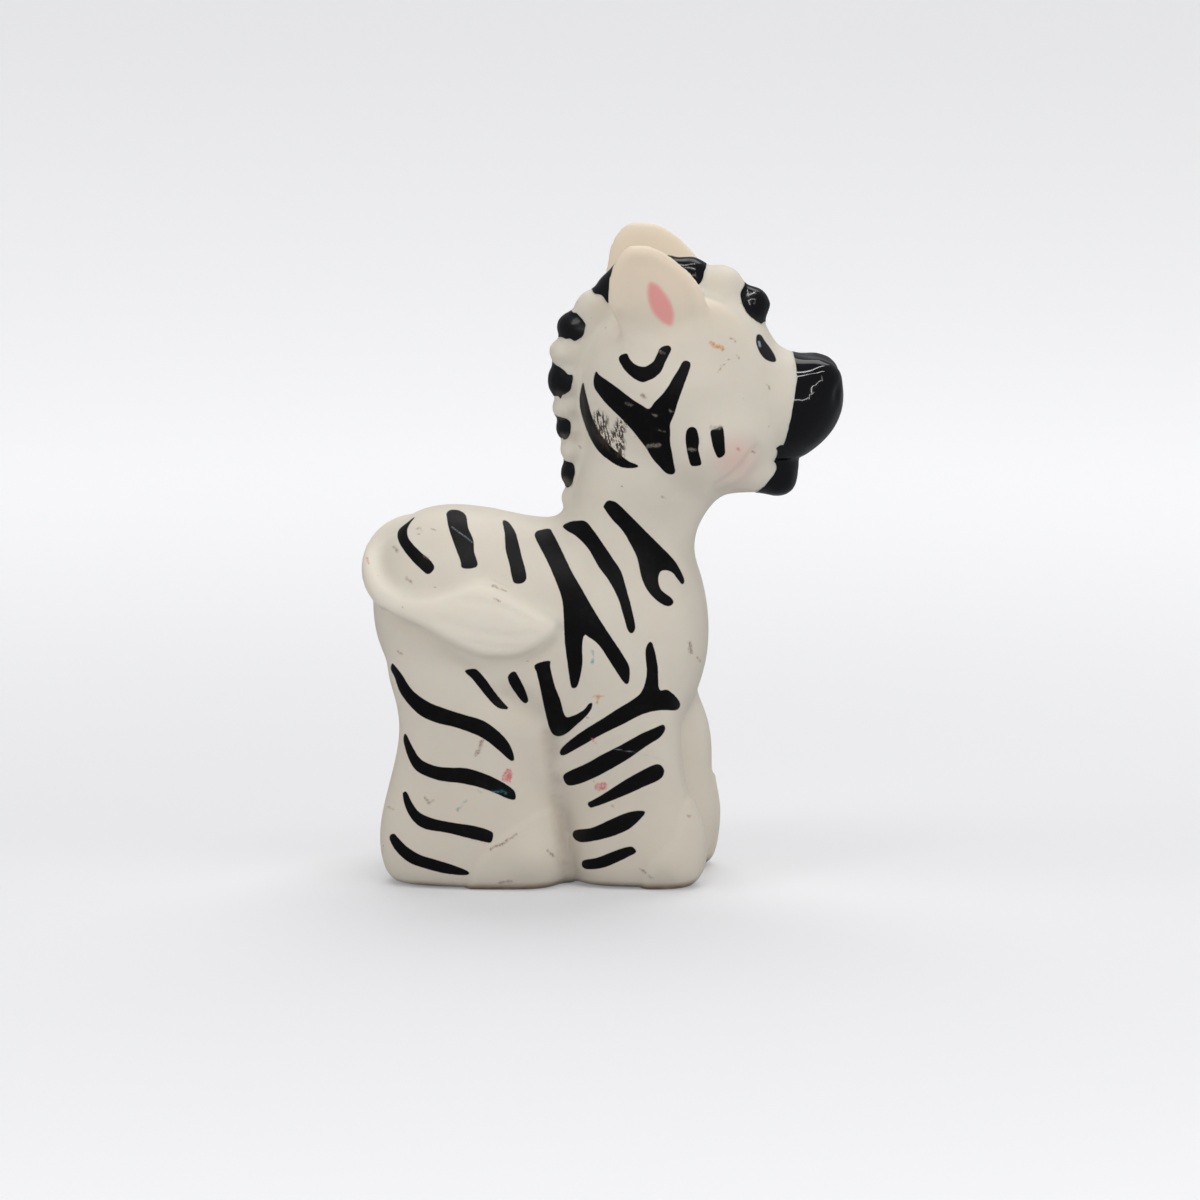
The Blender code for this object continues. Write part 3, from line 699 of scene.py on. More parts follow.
def shapeSnout(item):
    places, normals = vertexArrays(item.data)
    local = transformed(places, headFrame().inverted())
    shift = np.zeros(len(places))
    (f, out, up), reach, depth = snout["nostril"]
    for side in (-1, 1):
        away = (local - np.array((f, side * out, up))) / np.array(reach)
        shift += depth * np.exp(-(away ** 2).sum(1))
    height, front, over, depth, width = snout["mouth"]
    share = np.clip((local[:, 0] - front) / over, 0, 1)
    shift += depth * share * np.exp(-((local[:, 2] - height) / width) ** 2)
    pushedOut(item, places, normals, shift)


form = buildForm()
print("stage: form", len(form.data.vertices))
tailPiece = buildTail(form)
extras = [buildEar(-1), buildEar(1), buildLobes(), tailPiece]
skin = melted(joined([form] + extras, "body_skin"), softness["skinVoxel"], softness["skinSmoothing"])
softenEarRoots(skin)
softenMuzzle(skin)
softenForelock(skin)
evened(skin, softness["evenRounds"])
pressRelief(skin)
shapeSnout(skin)
print("stage: skin", len(skin.data.vertices), len(skin.data.polygons))


# gloss black paint: each painted area is cut out along its edge
paint = {
    "thickness": 0.05,
    "raggedness": 0.06,
    "creaseAngle": 35.0,
    "levels": 2,
    "grain": 1.9,           # of the ragged edge
    "seed": 1,              # without a seed the ragged edge would differ at each run
    "steps": 4,             # points on each stretch of an outline
    "faceFrom": 8.5,        # the paint on the face lies forward of this, that on the mane above this
    "maneFrom": 42.5,
    "faceSide": -4.5,       # where the outlines lie beside the head's middle plane
    "maneSide": -1.5,
    "faceReach": 14,        # half width of the cuts
    "maneReach": 4.2,
    "tufts": {              # outline in the picture, share of the head's turn
        "mane_black_1": (0.15, [
            (548, 458.2), (562.4, 460.2), (569, 461), (574.3, 463.6), (575.8, 470.6), (574.5, 477.2),
            (571.5, 484.7), (566.6, 487.6), (562.4, 486.8), (548, 485),
        ]),
        "mane_black_2": (0.55, [
            (545, 416), (557.4, 416.3), (564.9, 417.2), (569.9, 420), (571.2, 425.8), (569.9, 434.1),
            (564.9, 439.6), (560.7, 438.2), (545, 440),
        ]),
        "mane_black_3": (0.95, [
            (538, 362), (550.8, 363.2), (557, 365.5), (562.6, 368.4), (567.8, 373.2), (572.8, 374.6),
            (571.5, 382.7), (570.1, 388.8), (566.1, 392.3), (562.4, 394.3), (559.9, 398.4),
            (556.6, 395.9), (538, 400),
        ]),
        "mane_black_4": (1.0, [
            (560, 300), (571.5, 311.4), (576.4, 313.1), (580.7, 317.2), (584.8, 322.3), (584.8, 326.6),
            (583.5, 332.9), (579, 337.9), (574, 339.6), (569.9, 337.6), (565.7, 338.4), (560.7, 337.1),
            (545, 340), (545, 315),
        ]),
        "mane_black_5": (1.0, [
            (591, 280), (592, 289.5), (594, 293), (598.5, 293.6), (601.5, 294.8), (604.5, 298.5),
            (608, 302), (614, 296), (620, 284), (623, 273), (618, 258), (594, 262),
        ]),
        "mane_black_6": (1.0, [
            (628, 240), (640, 262), (646, 274), (660, 277), (668, 266), (672, 240),
        ]),
        "mane_black_7": (1.0, [
            (674, 240), (672, 262), (680, 281), (692, 286), (700.3, 281.5), (703.3, 274.2),
            (705.1, 269.4), (707.5, 262.7), (711, 245),
        ]),
        "mane_black_8": (1.0, [
            (758, 272), (747, 281), (743.6, 286.5), (740.8, 290.5), (740.4, 294.5), (740.9, 299.7),
            (743.3, 305.7), (746.3, 310.6), (749.9, 314.2), (756, 319.1), (760.9, 322.4),
            (764.5, 321.5), (774, 324), (785, 300), (772, 275),
        ]),
    },
    "muzzleEdge": [
        (797, 335), (795.4, 350), (795.2, 357.6), (796, 363.6), (796.4, 372.1), (796, 380.6),
        (794.5, 387.9), (792.8, 398.8), (791.2, 407.3), (788.0, 423), (785.2, 435.2), (782.9, 442.6),
        (782.4, 443.6), (779.4, 443.6), (775.8, 446.7), (777, 449.7), (776.4, 455.8), (775.2, 459.6),
    ],
    "muzzleLip": [(785, 460.4), (800, 460.6)],
    "front": [(880, 470), (880, 335)],     # clear of the nose
    "chinEdge": [
        (774.5, 461.8), (776.4, 465.5), (777, 469.1), (772.7, 476.4), (769.1, 481.2), (765.5, 486.7),
        (761.8, 490.3), (757, 497), (753, 515), (830, 515),
    ],
    "chinLip": [(775.2, 459.9), (880, 470.4), (800, 461), (785, 460.8)],
}


# outlines of the muzzle, of the chin and of both together
def faceOutlines():
    rear, *lip = paint["chinLip"]
    return {
        "muzzle": paint["muzzleEdge"] + paint["muzzleLip"] + paint["front"],
        "chin": [rear] + paint["chinEdge"] + lip,
        "both": paint["muzzleEdge"] + paint["chinEdge"] + paint["front"],
    }


# places in a plane beside the head where the picture's points fall
def onPlane(place, side, outline):
    inverse = place.inverted()
    found = []
    for x, y in outline:
        start, way = sightLine(x, y)
        start, way = inverse @ start, inverse.to_3x3() @ way
        share = (side - start.y) / way.y
        found.append(start + way * share)
    return found


# a prism across the head whose edge is the outline, with a slightly uneven hand
def paintCutter(outline, turnShare, side, reach):
    place = headFrame(turnShare)
    mesh = bmesh.new()
    verts = []
    for point in onPlane(place, side, rounded(outline, paint["steps"])):
        wobble = noise.noise_vector(point * paint["grain"]) * paint["raggedness"]
        verts.append(mesh.verts.new(Vector((point.x + wobble.x, -reach, point.z + wobble.z))))
    face = mesh.faces.new(verts)
    made = bmesh.ops.extrude_face_region(mesh, geom=[face])
    moved = [g for g in made["geom"] if isinstance(g, bmesh.types.BMVert)]
    bmesh.ops.translate(mesh, vec=(0, 2 * reach, 0), verts=moved)
    bmesh.ops.recalc_face_normals(mesh, faces=mesh.faces)
    bmesh.ops.transform(mesh, matrix=place, verts=mesh.verts)
    return objectFrom(mesh, "cutter")


def faceCutter(outline):
    return paintCutter(outline, 1.0, paint["faceSide"], paint["faceReach"])


def tuftCutter(turnShare, outline):
    return paintCutter(outline, turnShare, paint["maneSide"], paint["maneReach"])


# the casting mouth in the base, a seam wider than the plug
plugMouth = {
    "middle": -6.57,
    "length": 23.6,
    "width": 9.6,
    "squareness": 2.6,
    "low": -5,
    "top": 4.2,
}


def plugCutter():
    mesh = bmesh.new()
    rings = []
    for height in (plugMouth["low"], plugMouth["top"]):
        place = axesPlace(Vector((plugMouth["middle"], 0, height)), xAxis, yAxis)
        rings.append((place, plugMouth["length"] / 2, plugMouth["width"] / 2, plugMouth["squareness"]))
    loft(mesh, rings)
    bmesh.ops.recalc_face_normals(mesh, faces=mesh.faces)
    return objectFrom(mesh, "plugMouth")


def copied(item, name):
    other = bpy.data.objects.new(name, item.data.copy())
    bpy.context.scene.collection.objects.link(other)
    return other


# leaves what lies beyond a plane, closed again along the cut
def cropped(item, point, way):
    mesh = meshOf(item)
    bmesh.ops.bisect_plane(
        mesh, geom=mesh.verts[:] + mesh.edges[:] + mesh.faces[:], dist=0,
        plane_co=point, plane_no=way, clear_inner=True,
    )
    rim = [edge for edge in mesh.edges if edge.is_boundary]
    bmesh.ops.holes_fill(mesh, edges=rim, sides=0)
    putBack(mesh, item)


# a cropped copy that stands proud by the paint's thickness
def paintLayer(item, name, point, way):
    layer = copied(item, name)
    swell = layer.modifiers.new("swell", "DISPLACE")
    swell.strength = paint["thickness"]
    swell.mid_level = 0.0
    applied(layer)
    cropped(layer, point, way)
    return layer


# smooth reflections: the painted piece is subdivided, its cut edges stay sharp
def refined(item):
    mesh = meshOf(item)
    crease = mesh.edges.layers.float.new("crease_edge")
    for edge in mesh.edges:
        if edge.calc_face_angle(0) > math.radians(paint["creaseAngle"]):
            edge[crease] = 1.0
    putBack(mesh, item)
    step = item.modifiers.new("refine", "SUBSURF")
    step.levels = step.render_levels = paint["levels"]
    return applied(item)


def paintedPiece(layer, name, cutter):
    piece = refined(carved(copied(layer, name), cutter, "INTERSECT"))
    removed(cutter)
    return piece


def buildPaint():
    found = {}
    outlines = faceOutlines()
    forward = headFrame().to_3x3() @ xAxis
    face = paintLayer(skin, "face", headFrame() @ Vector((paint["faceFrom"], 0, 0)), forward)
    for name in ("muzzle", "chin"):
        found[name] = paintedPiece(face, name, faceCutter(outlines[name]))
    removed(face)
    upper = paintLayer(skin, "upper", Vector((0, 0, paint["maneFrom"])), zAxis)
    for name, tuft in paint["tufts"].items():
        found[name] = paintedPiece(upper, name, tuftCutter(*tuft))
    removed(upper)
    return found


def cutSkin():
    cutters = [plugCutter(), faceCutter(faceOutlines()["both"])]
    cutters += [tuftCutter(*tuft) for tuft in paint["tufts"].values()]
    for cutter in cutters:
        carved(skin, cutter, "DIFFERENCE")
        removed(cutter)


cropped(skin, (0, 0, 0), zAxis)     # the flat base
noise.seed_set(paint["seed"])
pieces = buildPaint()
print("stage: paint", {name: len(piece.data.vertices) for name, piece in pieces.items()})
cutSkin()
print("stage: parted skin", len(skin.data.vertices))


# printed stripes: outlines in the picture, mirrored to the left side
bodyStripes = {
    "rumpHook": [
        (414.5, 517.3), (407, 523), (399, 530), (398, 538), (402, 547), (411, 559), (420, 568),
        (428, 574), (434, 568), (430.3, 560.8), (421.2, 552.9), (413.2, 544.9), (408, 537.6),
        (407, 530), (410, 523),
    ],
    "backWide": [
        (447, 513), (451, 510), (460, 511), (465.8, 516), (468, 528), (473, 540), (474, 552),
        (477, 566), (463, 568), (460.4, 560), (454.4, 544), (449, 528), (447, 517),
    ],
    "backNarrow": [
        (503, 521), (509, 523), (515, 532), (518, 542), (521.4, 556), (525.4, 571), (526, 579),
        (522, 583), (515, 583), (512.4, 578), (509.4, 563), (506, 550), (505, 534),
    ],
    "flankFork": [
        (535, 535), (538, 531), (549, 529), (553, 534), (561, 549.6), (571, 570.6), (583, 591.5),
        (595, 612.4), (609, 634.4), (621.8, 653.5), (629, 667), (629, 680), (627, 684), (623, 681),
        (613, 666), (600, 646), (589, 637), (584, 635), (582, 646), (582, 665), (578, 684), (574, 688),
        (571, 685), (568, 665), (565, 641), (564, 619), (562, 598), (554, 576), (546, 558), (538, 543),
    ],
    "shoulderLong": [
        (563, 526), (570, 522), (577, 521), (585, 521.4), (592, 528.7), (603.2, 544.6), (612.4, 558.5),
        (621, 572), (627, 592), (632, 611), (635, 627), (632, 633), (628, 630), (624, 617),
        (618.4, 598.3), (609.1, 580.6), (599, 566.8), (588, 548), (576.2, 536), (567.4, 530.7),
    ],
    "neckFork": [
        (604, 506), (608, 501), (615, 502), (621.6, 507.4), (632.7, 518.4), (648.6, 534.4),
        (661.6, 547.4), (672, 558), (679, 568), (684, 580), (682, 584), (677, 578), (672, 572),
        (665, 570), (660, 572), (658, 580), (661, 590), (671, 598), (673, 603), (668, 606), (659, 602),
        (649, 592), (642.4, 579.3), (638.1, 560.4), (634.1, 550.4), (623.4, 531.5), (612.5, 519.5),
        (605, 509),
    ],
    "shoulderBranch": [
        (651, 642), (654.5, 651), (657.5, 667), (659, 689), (667, 690), (675, 696), (680, 704),
        (676, 710), (661, 710), (643, 713.8), (621.3, 724.8), (602, 734), (581, 746), (564, 755),
        (560, 752), (565, 745), (580.7, 732.6), (601.6, 719.5), (620.5, 707.4), (636.3, 697.5),
        (643.4, 688.7), (647, 673), (645.7, 654), (647, 646),
    ],
    "bellyHook": [
        (535, 665), (549, 661), (550, 667), (554, 684), (560, 700), (565, 716), (573, 716), (584, 710),
        (589, 704), (592, 703), (591, 709), (585, 717), (576, 725), (568, 732), (560, 736), (553, 734),
        (549, 726), (545, 710), (540, 686), (537, 673),
    ],
    "bellyDashRear": [
        (465, 671), (474, 669), (479, 672), (486, 680), (493, 690), (501, 700), (508, 708), (505, 709),
        (497.3, 707.2), (489, 699.1), (480.8, 689.2), (471.9, 678.1),
    ],
    "bellyDashFront": [
        (508, 677), (511, 673), (515, 672), (520, 680), (525, 690), (528, 700), (526, 703), (522, 701),
        (515, 692), (510, 684),
    ],
    "hindOne": [
        (392, 664), (394, 665), (402, 675), (412, 690), (428, 702), (447, 709.5), (466, 715.5),
        (482.4, 720.5), (495.7, 729.4), (505.8, 739.4), (511.8, 749.6), (514, 760), (510, 760),
        (500.4, 751.6), (487.5, 741), (474.8, 734), (454.8, 727), (436, 722.4), (420.6, 715.3),
        (409, 704.3), (400, 691.6), (395, 677.7), (391, 669),
    ],
    "hindTwo": [
        (405, 734), (407, 736), (412.7, 747.6), (420.7, 759.3), (434.4, 766), (450, 767.9),
        (466, 768.4), (482, 773), (498, 780), (511, 788), (515, 793), (515, 799), (508.6, 798.7),
        (494.6, 792.6), (479, 787), (461, 783.1), (442, 780.8), (426.5, 776), (415, 769), (408, 756),
        (404, 742), (404, 736),
    ],
    "hindThree": [
        (404, 792), (407, 793), (412, 803), (420, 813), (434, 819), (452, 822.8), (474, 826.1),
        (490, 831), (493, 835), (491, 842), (486, 842), (469, 838), (447, 832.6), (428.2, 829.5),
        (418, 825), (410, 816), (405, 805), (403, 795),
    ],
    "hindFour": [
        (390, 836), (394, 834), (398, 838), (407, 847), (420, 855), (436, 860), (455, 866), (467, 871),
        (469, 874), (462, 875), (444, 873), (425.8, 868.4), (409.7, 862.5), (397.6, 852.4), (391, 842),
    ],
    "foreOne": [
        (564, 775), (570, 771), (586, 764), (602, 755), (621.6, 745), (640.6, 734.4), (656.6, 727.4),
        (663, 725), (665, 729), (660, 737), (645.8, 746.2), (630, 757.4), (610.7, 768.9),
        (594.3, 777.5), (578, 784), (568, 785), (564, 780),
    ],
    "foreTwo": [
        (588, 803), (593.8, 799.9), (606, 792.6), (622.2, 782), (638, 772.9), (653.5, 765.3),
        (660, 765), (664, 771), (660, 779), (645.3, 785.8), (629.4, 793.1), (610.3, 800.9),
        (594.2, 806.7), (590, 807),
    ],
    "foreThree": [
        (573, 833), (577, 830), (592, 828), (608, 821), (624, 814), (637, 811), (645, 812), (640, 819),
        (629.3, 828.5), (613.3, 835.7), (594, 840.6), (581, 842), (574, 838),
    ],
    "foreFour": [
        (582, 863), (585, 860), (597, 858), (610, 853), (624, 848), (632, 847), (636, 852), (629, 856),
        (619, 861), (605, 867), (592, 869), (584, 868),
    ],
}
headStripes = {
    "belowEar": [
        (619, 359), (620, 356), (624, 354), (627, 354), (629, 358), (633, 363), (638, 366), (644, 367),
        (649, 365), (654, 361), (657.6, 353.7), (660.2, 348.5), (665, 346), (669, 346), (671, 349),
        (669, 354), (665, 362), (661, 371), (655, 377), (649, 380), (643, 382), (637, 380), (631, 376),
        (625, 370), (621, 364),
    ],
    "cheekFork": [
        (596, 372), (599, 375), (606, 380), (616, 387), (625, 394), (633, 400), (641, 405), (649, 409),
        (655, 402), (662, 395), (668, 387), (674, 377), (679, 369), (683, 362), (687, 361), (690, 363),
        (690, 367), (687, 376), (683, 387), (678, 401), (674, 414), (670, 424), (670, 433), (670, 443),
        (672, 454), (674, 466), (675, 471), (673, 474), (669, 474), (665, 472), (659.6, 466.3),
        (652.6, 458.3), (646.6, 448.3), (640.5, 440.4), (633.5, 431.4), (625.5, 422.5), (616.5, 413.5),
        (605.5, 402.5), (598.5, 393.5), (594.6, 387.3), (593.8, 380),
    ],
    "napeCrescent": [
        (583, 383), (585, 391), (588, 403), (592, 417), (598, 430), (606, 442), (618, 453), (628, 461),
        (637, 465), (637, 467), (628, 468), (619, 466), (609, 460), (598.3, 450.6), (590.2, 437.5),
        (584.3, 422.4), (580.5, 408.2), (580, 396),
    ],
    "jawDashRear": [
        (686, 434), (688, 429), (692, 427), (696, 429), (698, 435), (699, 442), (698, 448), (699, 454),
        (701, 462), (700, 465), (694, 466), (691, 465), (689, 459), (687, 450), (686, 442),
    ],
    "jawDashFront": [
        (711, 431), (716, 429), (722, 427), (724, 436), (724.6, 446), (724.5, 454), (720, 457.5),
        (717, 456), (713.4, 447.2), (711.4, 438.1),
    ],
}


# what is printed or sprayed on the skin, and where shade and light are painted on it
prints = {
    "far": 12.0,            # distances are kept up to this many pixels from an edge
    "facing": 0.02,         # only where the skin faces the view by more than this share
    "headFrom": 40,         # height from which the prints of the head are looked for
    "earFrom": 6.5,         # the ear's pink lies farther than this from the middle
    "rightOf": 2,           # wear stays to the right of this
    "tailEdge": (4, 3),     # how far right of the middle the tail's tone ends, and how fast it fades
    "tailFacing": 40,       # the same where the skin turns away
    "grooveFar": 60,        # given where the groove isn't seen
    "bands": ((4.2, 0.0), (1.9, 42.0)),    # finer mesh within so many pixels, from this height up
    "markBand": 0.5,        # share of that for small marks
    "eye": [
        (756, 341), (757, 335), (761, 335), (765, 341), (771, 349), (775, 356), (776, 361), (772, 362),
        (765, 359), (760, 353), (757, 346),
    ],
    "earPink": [
        (650, 283), (657, 285), (664, 293), (670, 303), (673, 314), (671, 325), (663, 322), (655, 314),
        (650, 304), (648, 292),
    ],
    "scrape": [
        (595, 414), (601, 412), (605, 420), (608, 431), (612, 438), (614, 430), (619, 421), (625, 424),
        (623, 434), (623, 446), (620, 456), (612, 452), (604, 445), (598, 437), (594, 426),
    ],
    "blush": ((736, 458), 36.0),   # middle and reach of the pink on the cheek
    "tail": [
        (404, 520), (384, 524), (371, 536), (363, 550), (361, 565), (364, 580), (369, 595), (384, 612),
        (412, 623), (441, 638), (470, 652), (498, 657), (520, 655), (549, 638), (557, 625), (541, 610),
        (510, 592), (478, 581), (441, 592), (409, 595), (385, 579), (380, 553), (387, 540), (404, 532),
    ],
    "groove": [(548, 735), (555, 780), (561, 830), (567, 872)],   # painted shade in the groove between the legs
}

# wear and stains: lines with their widths in picture pixels, on the right only but for the eye's light
marks = {
    "brownMarks": [
        ([(642, 395), (646, 398)], 3.4, "head"),
        ([(394, 547), (397, 551)], 2.8, "body"),
        ([(690, 643), (691, 652)], 4.0, "body"),
        ([(482, 741), (480, 748), (476, 755)], 4.4, "body"),
        ([(425, 798), (429, 803), (433, 801)], 2.6, "body"),
        ([(491, 849), (497, 846), (504, 843)], 2.4, "body"),
        ([(506, 841), (511, 838), (517, 834)], 2.2, "body"),
        ([(500, 883), (507, 881), (513, 882)], 2.6, "body"),
        ([(471, 839), (475, 841)], 1.6, "body"),
        ([(480, 842), (484, 844)], 1.6, "body"),
        ([(389, 807), (393, 809)], 1.8, "body"),
        ([(548, 851), (553, 856)], 2.6, "body"),
        ([(640, 869), (646, 873)], 2.2, "body"),
        ([(649, 876), (653, 878)], 1.8, "body"),
        ([(611, 805), (614, 807)], 1.6, "body"),
        ([(687, 815), (691, 817)], 1.8, "body"),
        ([(406, 578), (411, 582)], 3.0, "body"),
        ([(398, 651), (402, 655)], 2.2, "body"),
        ([(493, 586), (499, 588)], 2.0, "body"),
        ([(500, 589), (506, 591)], 1.8, "body"),
        ([(494, 598), (500, 601)], 2.0, "body"),
        ([(578, 445), (581, 448)], 2.2, "head"),
        ([(662, 497), (665, 498)], 1.8, "head"),
        ([(752, 451), (755, 453)], 1.8, "head"),
        ([(769, 387), (770, 390)], 1.8, "head"),
        ([(717, 373), (723, 365), (729, 359)], 0.9, "head"),
        ([(731, 338), (735, 341)], 1.4, "head"),
        ([(737, 355), (739, 358)], 1.4, "head"),
        ([(766, 384), (767, 385)], 1.2, "head"),
        ([(697, 657), (700, 661)], 2.0, "body"),
        ([(430, 528), (436, 531)], 1.4, "body"),
        ([(416, 529), (420, 528), (422, 531), (420, 534), (417, 533)], 1.2, "body"),
        ([(424, 556), (429, 558)], 2.2, "body"),
    ],
    "orangeMarks": [
        ([(711, 343), (715, 346), (721, 347), (723, 349)], 4.8, "head"),
        ([(713, 347), (719, 345)], 2.4, "head"),
        ([(594, 697), (603, 696)], 2.4, "body"),
        ([(598, 697), (597, 703)], 1.8, "body"),
    ],
    "redMarks": [
        ([(505, 778), (508, 772), (509, 779)], 7.0, "body"),
        ([(598, 787), (604, 786)], 7.5, "body"),
        ([(592, 738), (596, 744)], 2.0, "body"),
        ([(737, 448), (739, 450)], 2.4, "head"),
        ([(367, 558), (369, 564)], 1.8, "body"),
    ],
    "tealMarks": [
        ([(592, 651), (594, 657), (592, 663)], 2.4, "body"),
        ([(456, 811), (461, 806), (466, 801)], 2.2, "body"),
        ([(493, 792), (500, 791), (507, 793)], 2.0, "body"),
    ],
    "paleMarks": [          # where the print has gone
        ([(659, 351), (664, 353)], 2.4, "head"),
        ([(626, 403), (632, 405)], 2.0, "head"),
        ([(669, 410), (674, 412)], 1.6, "head"),
        ([(652, 415), (659, 416)], 1.6, "head"),
        ([(659, 430), (665, 432)], 1.8, "head"),
        ([(648, 446), (659, 445)], 4.2, "head"),
        ([(688, 449), (696, 450)], 3.0, "head"),
        ([(711, 428), (721, 427)], 4.2, "head"),
        ([(477, 790), (482, 793)], 1.2, "body"),
    ],
    "glint": [              # the eye's light and the scratches through the stripes
        ([(759, 342), (760, 346)], 2.2, "head"),
        ([(452, 527), (460, 533), (466, 537), (473, 543)], 0.7, "body"),
        ([(612, 748.5), (630, 751.5), (648, 755.5), (664, 760.5)], 0.6, "body"),
    ],
}


# which places lie near enough to a line to matter
def closeTo(spots, line):
    low, high = np.min(line, 0) - prints["far"], np.max(line, 0) + prints["far"]
    return np.all((spots > low) & (spots < high), axis=1)


def outlineDistance(spots, outlines):
    found = np.full(len(spots), prints["far"])
    for outline in outlines:
        line = rounded(outline)
        near = closeTo(spots, line)
        found[near] = np.minimum(found[near], signedDistance(spots[near], line))
    return found


# every printed mark as a signed distance in picture pixels, negative inside
def printDistances(data):
    places, normals = vertexArrays(data)
    far = prints["far"]
    seen = {part: seenFrom(places, normals, part) for part in ("body", "head")}
    faces = {part: facing > prints["facing"] for part, (_, facing) in seen.items()}
    bodySpots, bodyFacing = seen["body"]
    onHead = places[:, 2] > prints["headFrom"]
    nearHead = seen["head"][0][onHead]

    def onFace(outlines):
        away = outlineDistance(nearHead, outlines)
        away[~faces["head"][onHead]] = far
        return away

    names = ("stripeDistance", "eyeDistance", "pinkDistance", "scrapeDistance", "blushDistance")
    distances = {name: np.full(len(places), far) for name in names}
    body = outlineDistance(bodySpots, bodyStripes.values())
    body[~faces["body"]] = far
    distances["stripeDistance"] = body
    distances["stripeDistance"][onHead] = np.minimum(body[onHead], onFace(headStripes.values()))
    for name, outline in (("eyeDistance", "eye"), ("pinkDistance", "earPink"), ("scrapeDistance", "scrape")):
        distances[name][onHead] = onFace([prints[outline]])
    distances["pinkDistance"][np.abs(places[:, 1]) < prints["earFrom"]] = far
    distances["scrapeDistance"][places[:, 1] > 0] = far
    edge, fade = prints["tailEdge"]
    away = np.maximum(outlineDistance(bodySpots, [prints["tail"]]), (places[:, 1] + edge) * fade)
    distances["tailDistance"] = np.minimum(np.maximum(away, -bodyFacing * prints["tailFacing"]), far)
    middle, reach = prints["blush"]
    distances["blushDistance"][onHead] = np.hypot(*(nearHead - middle).T) / reach
    for name, rows in marks.items():
        found = np.full(len(places), far)
        for line, width, part in rows:
            spots = seen[part][0]
            near = closeTo(spots, line) & faces[part]
            if part == "body" or name != "glint":
                near &= places[:, 1] < prints["rightOf"]
            found[near] = np.minimum(found[near], lineDistance(spots[near], line) - width / 2)
        distances[name] = found
    away = lineDistance(bodySpots, prints["groove"])
    away[~faces["body"]] = prints["grooveFar"]
    distances["grooveDistance"] = away
    return distances


# finer mesh where a printed edge runs, so that it stays crisp, and finest on the head
def refineAlongPrints(item):
    for band, lowest in prints["bands"]:
        found = printDistances(item.data)
        close = np.abs(found["stripeDistance"]) < band
        close |= np.abs(found["eyeDistance"]) < band
        close |= found["scrapeDistance"] < 0
        close |= np.abs(found["pinkDistance"]) < band * prints["markBand"]
        for name in marks:
            close |= found[name] < band * prints["markBand"]
        close &= vertexArrays(item.data)[0][:, 2] >= lowest
        mesh = meshOf(item)
        mesh.verts.ensure_lookup_table()
        marked = {mesh.verts[i] for i in np.flatnonzero(close)}
        edges = [e for e in mesh.edges if e.verts[0] in marked and e.verts[1] in marked]
        bmesh.ops.subdivide_edges(mesh, edges=edges, cuts=1, use_grid_fill=True)
        putBack(mesh, item)


def storePrints(item):
    for name, values in printDistances(item.data).items():
        layer = item.data.attributes.new(name, "FLOAT", "POINT")
        layer.data.foreach_set("value", values.astype(np.float32))


refineAlongPrints(skin)
storePrints(skin)
print("stage: prints", len(skin.data.vertices), len(skin.data.polygons))


# materials
def newMaterial(name):
    material = bpy.data.materials.new(name)
    material.use_nodes = True
    return material, material.node_tree, material.node_tree.nodes["Principled BSDF"]


# one node with its settings and inputs; an input is a number, a colour or another's output
def addNode(tree, kind, settings=None, **inputs):
    node = tree.nodes.new("ShaderNode" + kind)
    for key, value in (settings or {}).items():
        setattr(node, key, value)
    for key, value in inputs.items():
        socket = node.inputs[int(key[1:])] if key[1:].isdigit() else node.inputs[key.replace("_", " ")]
        if isinstance(value, bpy.types.NodeSocket):
            tree.links.new(value, socket)
        else:
            socket.default_value = value
    return node


def objectPlace(tree):
    return addNode(tree, "TexCoord").outputs["Object"]


def noiseOf(tree, where, scale, detail=3.0, roughness=0.55):
    node = addNode(tree, "TexNoise", None, Vector=where, Scale=scale, Detail=detail, Roughness=roughness)
    return node.outputs["Fac"]


def ramp(tree, value, low, high, toLow=0.0, toHigh=1.0, soft=True):
    kind = {"interpolation_type": "SMOOTHSTEP" if soft else "LINEAR"}
    return addNode(tree, "MapRange", kind, i0=value, i1=low, i2=high, i3=toLow, i4=toHigh).outputs[0]


def mathOf(tree, operation, a, b=0.0):
    return addNode(tree, "Math", {"operation": operation}, i0=a, i1=b).outputs[0]


def mixColour(tree, share, under, over):
    kind = {"data_type": "RGBA", "blend_type": "MIX"}
    return addNode(tree, "Mix", kind, i0=share, i6=under, i7=over).outputs[2]


def linear(red, green, blue):
    def one(v):
        v /= 255
        return v / 12.92 if v <= 0.04045 else ((v + 0.055) / 1.055) ** 2.4
    return one(red), one(green), one(blue), 1.0


